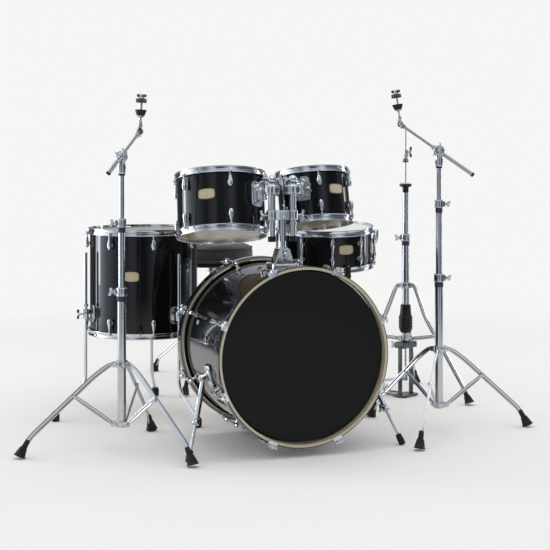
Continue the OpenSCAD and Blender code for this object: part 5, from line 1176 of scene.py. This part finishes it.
def buildThrone():
    n = SimpleNamespace(**throne)
    place, board, r = move(*n.at), n.seatTop - n.seatHeight - 14, s.midRadius
    tripod("throne", "throne_base", place, n.legs, n.hubTurn, n.foot, n.hubZ, n.jointR, n.jointZ, n.collarZ)
    lowerTube("throne", "throne_base", place, n.tubeLow, n.clampZ, n.clampTurn, [
        rod((0, 0, 250), (0, 0, board - 30), r, 36, 1), rod((0, 0, board - 32), (0, 0, board - 4), 8, 28),
        *[ring(r + 0.5, r - 1, z, z + 1.6, 0.4) for z in range(425, int(board) - 38, 9)]])
    socket = [(8.1, board - 29.3), (16, board - 29.3), (17.4, board - 26), (17, board - 12), (22, board - 5.5),
              (60, board - 4.6), (60.6, board - 0.4), (8.1, board - 0.4)]
    screw = lathe([(4.6, -1), (4.6, 1), (2.6, 2.4)], 16)
    metal = [spun(socket, 2.4, 4, 56, loop=True), wingBolt(14, 12, move(14, 0, board - 19)),
             *[placed(screw, turn("z", a), move(46, 0, board - 4.6), mirror("z")) for a in (45, 135, 225, 315)]]
    wood = disc(n.seatRadius - 15, board, board + 13.6, 2, 96)
    addPieces("throne_seat", "seat", "throne_seat", {
        "throneSocket": ("steel", metal), "throneBoard": ("blackPlastic", [wood])}, place)
    buildCushion(place, board + 14)


# The cushion starts slightly small, is blown up by the cloth solver and then trimmed.
cushion = dict(voxel=0.0055, frames=20, farthest=22, heldBelow=6, smooth=0.5, smoothings=18, piping=2.6, pipingLow=13,
               pipingTop=26, band=7, sectors=72, waves=9, steps=192)
pressure = dict(use_pressure=True, uniform_pressure_force=4, vertex_group_mass="held", pin_stiffness=1,
                tension_stiffness=40, compression_stiffness=40, bending_stiffness=20, quality=7)


def buildCushion(place, low):
    c, r, high = SimpleNamespace(**cushion), throne["seatRadius"] - 7, throne["seatHeight"] - 9
    profile = [(4, 0.5), (r - 14, 0.5), (r - 3, 5), (r, 18), (r, high - 30), (r - 6, high - 12), (r - 30, high - 2),
               (4, high)]
    shape = spun(profile, 14, 6, 96, place, move(z=low))
    piece = addPieces("throne_seat", "seat", "throne_seat", {"throneCushion": ("cloth", [shape])})
    inflate(piece, place, low)
    calm = piece.modifiers.new("calm", "SMOOTH")
    calm.factor, calm.iterations = c.smooth, c.smoothings
    smooth = piece.modifiers.new("smooth", "SUBSURF")
    smooth.levels = smooth.render_levels = 1
    cords = [placed(sweep(girth(piece, place, z), circle(c.piping, 12), (0, 0, 1), None, True), place)
             for z in (low + c.pipingLow, low + throne["seatHeight"] - c.pipingTop)]
    addPieces("throne_seat", "seat", "throne_seat", {"thronePiping": ("piping", cords)})


def corners(mesh):
    points = np.empty(len(mesh.vertices) * 3)
    mesh.vertices.foreach_get("co", points)
    return points.reshape(-1, 3)


def capped(v, most):
    return v * np.minimum(1, most / np.maximum(np.linalg.norm(v, axis=1), 1e-9))[:, None]


def girth(piece, place, z):
    # A closed path round the finished cushion at one height: the farthest point in each sector,
    # evened out round the ring by a short Fourier sum.
    c, around = SimpleNamespace(**cushion), 2 * math.pi
    shown = piece.evaluated_get(bpy.context.evaluated_depsgraph_get())
    points = corners(shown.to_mesh()) / mm - kitOrigin - place[:3, 3]
    shown.to_mesh_clear()
    points = points[np.abs(points[:, 2] - z) < c.band]
    sector = ((np.arctan2(points[:, 1], points[:, 0]) / around) % 1 * c.sectors).astype(int)
    far = np.zeros(c.sectors)
    np.maximum.at(far, sector, np.hypot(points[:, 0], points[:, 1]))
    far[far == 0] = far[far > 0].mean()
    waves = np.fft.rfft(far)
    waves[c.waves:] = 0
    even, a = np.fft.irfft(waves, c.sectors), np.linspace(0, around, c.steps + 1)[:-1]
    out = np.interp(a, np.linspace(0, around, c.sectors + 1), np.append(even, even[0])) + 0.6
    return np.column_stack([out * np.cos(a), out * np.sin(a), z + 0.5 * np.sin(3 * a)])


def inflate(piece, place, low):
    c, scene = SimpleNamespace(**cushion), bpy.context.scene
    remesh = piece.modifiers.new("even", "REMESH")
    remesh.mode, remesh.voxel_size = "VOXEL", c.voxel
    piece.modifiers.move(len(piece.modifiers) - 1, 0)
    bpy.context.view_layer.objects.active = piece
    bpy.ops.object.modifier_apply(modifier=remesh.name)
    mesh = piece.data
    start = corners(mesh)
    held = piece.vertex_groups.new(name="held")
    held.add(np.where(start[:, 2] < (low + c.heldBelow) * mm)[0].tolist(), 1.0, "REPLACE")
    cloth = piece.modifiers.new("fill", "CLOTH")
    piece.modifiers.move(len(piece.modifiers) - 1, 0)
    for key, value in pressure.items():
        setattr(cloth.settings, key, value)
    cloth.settings.effector_weights.gravity = 0
    cloth.point_cache.frame_start, cloth.point_cache.frame_end = 1, c.frames
    for number in range(1, c.frames + 1):
        scene.frame_set(number)
    shown = piece.evaluated_get(bpy.context.evaluated_depsgraph_get())
    puffed = corners(shown.to_mesh())
    shown.to_mesh_clear()
    piece.modifiers.remove(cloth)
    scene.frame_set(1)
    # No point moves more than the farthest way, or past the seat's own space.
    moved = puffed - start if len(puffed) == len(start) else np.zeros_like(start)
    end = start + capped(moved, c.farthest * mm)
    centre = ((through(place, (0, 0, 0)) + kitOrigin) * mm)[:2]
    end[:, :2] = centre + capped(end[:, :2] - centre, (throne["seatRadius"] + 1) * mm)
    end[:, 2] = np.clip(end[:, 2], (low + 0.3) * mm, (low + throne["seatHeight"] + 4) * mm)
    mesh.vertices.foreach_set("co", end.ravel())
    mesh.update()
    mesh.shade_smooth()


buildThrone()
print("throne made")

pedal = dict(y=513, axleZ=104, boardLength=262, boardWidth=60, back=40, beater=205, rise=44, heelZ=19, springTurns=9,
             springRadius=5)


def buildPedal():
    p = SimpleNamespace(**pedal)
    y, heel, axle, end, hoopZ = p.y, p.y + p.boardLength + 10, p.axleZ, bassLength, bassDrum["height"] - hoopRadius
    post = [(-13, 0), (13, 0), (10, 30), (8, axle - 20), (11, axle - 8), (9, axle + 9), (-9, axle + 9),
            (-11, axle - 8), (-8, axle - 20), (-10, 30)]
    ear = [(-8, -14), (8, -14), (8, 3), (4, 8), (-4, 8), (-8, 3)]
    pin = mirrored([(2, -39), (4.6, -38.6), (4.6, -36.4), (3, -36)], y=-1)
    frameShapes = [block((-45, y - 20, 3), (45, y + 24, 9), 8, 1.4),
                   *[block((e * 28 - 6, y + 18, 3), (e * 28 + 6, heel - 8, 7), 2, 1) for e in sides],
                   block((-34, heel - 18, 3), (34, heel + 14, 7.4), 8, 1.2),
                   block((-18, end - 24, 9), (18, end + 20, 17), 4, 1.5),
                   block((-18, end - 24, 15), (18, end - 2, hoopZ - 0.3), 3, 1.2),
                   block((-14, end + 4, 12), (14, end + 14, hoopZ + 12), 3, 1.4),
                   block((-14, end - 20, hoopZ + 12), (14, end + 14, hoopZ + 18), 4, 1.6),
                   wingBolt(14, 11, move(0, end + 14, 30), turn("z", 90))]
    for e in sides:
        frameShapes += [cut(post, 8, 5, -4, 4, 1.4, move(e * 38, y, 6), turn("z", 90), standing),
                        placed(ring(12, 5.1, -5.4, 5.4, 1.2, 32), move(e * 38, y, axle), alongX),
                        cut(ear, 3, 3, -3, 3, 0.8, move(e * 35, heel, p.heelZ), turn("z", 90), standing)]
    frameShapes += [placed(lathe(pin, 20), move(0, heel, p.heelZ), alongX),
                    block((38, y, 24), (58, y + 12, 29), 3, 1.2)]
    spring = [placed(sweep(coil(p.springRadius, p.springTurns, 16, 32, 78), circle(1.1, 8)), move(49, y + 6)),
              *[rod((49, y + 6, a), (49, y + 6, a + 10), 2, 12) for a in (24, 76)]]
    feet = [footPad(8.6, x, b) for x in (-36, 36) for b in (y - 10, heel)]
    addPieces("kit", "stand", "pedal_frame", {
        "pedalFrame": ("castAluminium", frameShapes), "pedalSpring": ("steel", spring), "pedalPads": ("rubber", feet)})
    at, toe = chain(move(0, heel, p.heelZ), turn("z", 90)), -p.boardLength
    board = [*boardShapes(p.boardLength - 2, p.boardWidth, p.rise), block((toe + 7, -5, 44), (toe + 18, 5, 53), 2, 1)]
    low = through(at, (toe + 14, 0, 50))
    addPieces("pedal_footboard", "board", "pedal_footboard", {
        "pedalFootboard": ("castAluminium", atEach(board, at)),
        "pedalChain": ("steel", chainLinks(low, low + (0, 0, 34)))})
    hub = move(0, y, axle)
    arm = chain(hub, turn("x", -p.back))
    head = chain(arm, move(z=p.beater), alongY)
    cam = [(-22, -2), (-16, -16), (0, -22), (16, -16), (22, 0), (12, 12), (6, 30), (-6, 30), (-12, 12)]
    beater = [placed(lathe(mirrored([(3, -56), (5, -55)], y=-1), 6), hub, alongX),
              *[cut(cam, 9, 6, e * 5.6 - 1.4, e * 5.6 + 1.4, 0.6, arm, turn("z", 90), standing) for e in sides],
              placed(disc(17, -6, 6, 1, 32), hub, alongX), placed(block((-8, -8, 14), (8, 8, 36), 3, 1.4), arm),
              placed(rod((0, 0, 10), (0, 0, p.beater + 8), 3.4, 20), arm),
              placed(block((47, -6, -6), (54, 6, 22), 2.5, 1.2), hub)]
    drive = [(3, -18.4), (16, -18.4), (20, -14), (20, 12), (17, 17.6), (3, 18)]
    face = [(3, -33), (18, -33.4), (25, -30), (26, -24), (25, -19), (20, -18)]
    addPieces("pedal_beater", "stand", "pedal_beater", {
        "pedalBeater": ("steel", beater), "pedalBeaterHead": ("blackPlastic", [spun(drive, 4, 4, 40, head)]),
        "pedalBeaterFelt": ("whiteFelt", [spun(face, 4, 4, 48, head)])})


buildPedal()
print("pedal made")

# Floor, light and camera.
studio = dict(
    middle=(60, 400, 500), floorMiddle=(60, 500, 0), floor=(0.9, 0.9, 0.895), floorRadius=4200.0, floorFades=2200.0,
    world=0.84, pale=0.92, overhead=0.8, overheadFrom=0.3, overheadTo=0.62, tint=(0.9, 1.0, 1.12),
    lamps={"key": (-105, 4500, 1550, 0.5, 3.0, 36.0), "rim": (118, 4500, 1550, 0.34, 3.0, 20.0),
           "top": (20, 500, 3300, 2.6, 2.6, 16.0)},
    levels=[(-180, 0.5), (-168, 0.5), (-162, 0.1), (-120, 0.08), (-115, 5.5), (-100, 3.0), (-80, 1.5), (-60, 0.7),
            (-38, 0.16), (-22, 0.7), (-13, 0.65), (-7, 0.1), (9, 0.08), (20, 0.4), (32, 0.85), (42, 0.4), (52, 0.1),
            (100, 0.12), (116, 0.6), (128, 1.8), (131, 0.1), (162, 0.1), (168, 0.5), (180, 0.5)])
view = dict(azimuth=20, at=(-1592.3, -4085.3, 997.6), lens=88.4, shift=-0.227)


def buildFloor():
    n, centre = SimpleNamespace(**studio), kitOrigin + studio["floorMiddle"]
    mesh = bpy.data.meshes.new("floor")
    edge = centre + np.column_stack([circle(n.floorRadius, 128), np.zeros(128)])
    mesh.from_pydata((edge * mm).tolist(), [], [list(range(128))])
    floor = bpy.data.objects.new("floor", mesh)
    bpy.context.scene.collection.objects.link(floor)
    paint = bpy.data.materials.new("floorPaint")
    paint.use_nodes = True
    tree = paint.node_tree
    place = put(tree, "TexCoord").outputs["Object"]
    tone = blended(tree, noise(tree, place, 3.0), n.floor, tuple(c * 0.985 for c in n.floor))
    far = vectors(tree, "DISTANCE", place, tuple(centre * mm))
    fade = mapped(tree, far, n.floorFades * mm, n.floorRadius * mm * 0.98, 1.0, 0.0, interpolation_type="SMOOTHSTEP")
    plug(tree, tree.nodes["Principled BSDF"], {
        "Base Color": tone, "Roughness": 0.85, "Specular IOR Level": 0.0, "Alpha": fade})
    mesh.materials.append(paint)


def buildWorld():
    # Pale straight behind, dark flags beside that, soft boxes at both sides and a bright
    # ceiling: what polished faces show. Matt faces get one plain level from all round.
    n, world, a = SimpleNamespace(**studio), bpy.data.worlds.new("studio"), rad(-view["azimuth"])
    bpy.context.scene.world = world
    world.use_nodes = True
    tree = world.node_tree
    rays = put(tree, "LightPath").outputs
    place = put(tree, "TexCoord").outputs["Generated"]
    across = vectors(tree, "DOT_PRODUCT", place, (math.cos(a), math.sin(a), 0))
    toward = vectors(tree, "DOT_PRODUCT", place, (math.sin(a), -math.cos(a), 0))
    part = mapped(tree, maths(tree, "ARCTAN2", across, toward), -math.pi, math.pi)
    ramp = put(tree, "ValToRGB", {"Fac": part})
    most = max(level for _, level in n.levels)
    stops = ramp.color_ramp.elements
    stops[0].position, stops[1].position = 0, 1
    for degrees, level in n.levels[1:-1]:
        stops.new(degrees / 360 + 0.5)
    for stop, (_, level) in zip(stops, n.levels):
        stop.color = (level / most, level / most, level / most, 1)
    around = maths(tree, "MULTIPLY", ramp.outputs["Color"], most)
    up = put(tree, "SeparateXYZ", {"Vector": place}).outputs["Z"]
    high = mapped(tree, up, n.overheadFrom, n.overheadTo, interpolation_type="SMOOTHSTEP")
    boxes = blended(tree, high, around, n.overhead, "FLOAT")
    polished = blended(tree, rays["Is Glossy Ray"], n.world, boxes, "FLOAT")
    seen = maths(tree, "MAXIMUM", rays["Is Camera Ray"], rays["Is Transmission Ray"])
    strength = blended(tree, seen, polished, n.pale, "FLOAT")
    # Polished faces see the boxes a little cool.
    cool = blended(tree, rays["Is Glossy Ray"], (1, 1, 0.997), n.tint)
    plug(tree, tree.nodes["Background"], {"Color": cool, "Strength": strength})


def buildLamps():
    middle = kitOrigin + studio["middle"]
    for name, (degrees, far, high, wide, tall, power) in studio["lamps"].items():
        light = bpy.data.lights.new(name, "AREA")
        light.shape, light.size, light.size_y, light.energy = "RECTANGLE", wide, tall, power
        lamp = bpy.data.objects.new(name, light)
        lamp.visible_camera = False
        bpy.context.scene.collection.objects.link(lamp)
        start = polar(far, degrees - 90 - view["azimuth"], high) + (middle[0], middle[1], 0)
        lamp.location = start * mm
        lamp.rotation_euler = Vector((start - middle) * mm).to_track_quat("Z", "Y").to_euler()


def buildCamera():
    lens = bpy.data.cameras.new("camera")
    lens.lens, lens.shift_y, lens.clip_end = view["lens"], view["shift"], 100
    camera = bpy.data.objects.new("camera", lens)
    bpy.context.scene.collection.objects.link(camera)
    camera.location = (kitOrigin + view["at"]) * mm
    camera.rotation_euler = (rad(90), 0, rad(-view["azimuth"]))
    bpy.context.scene.camera = camera
    bpy.context.scene.view_settings.view_transform = "Standard"


buildFloor()
buildWorld()
buildLamps()
buildCamera()
print("studio made")
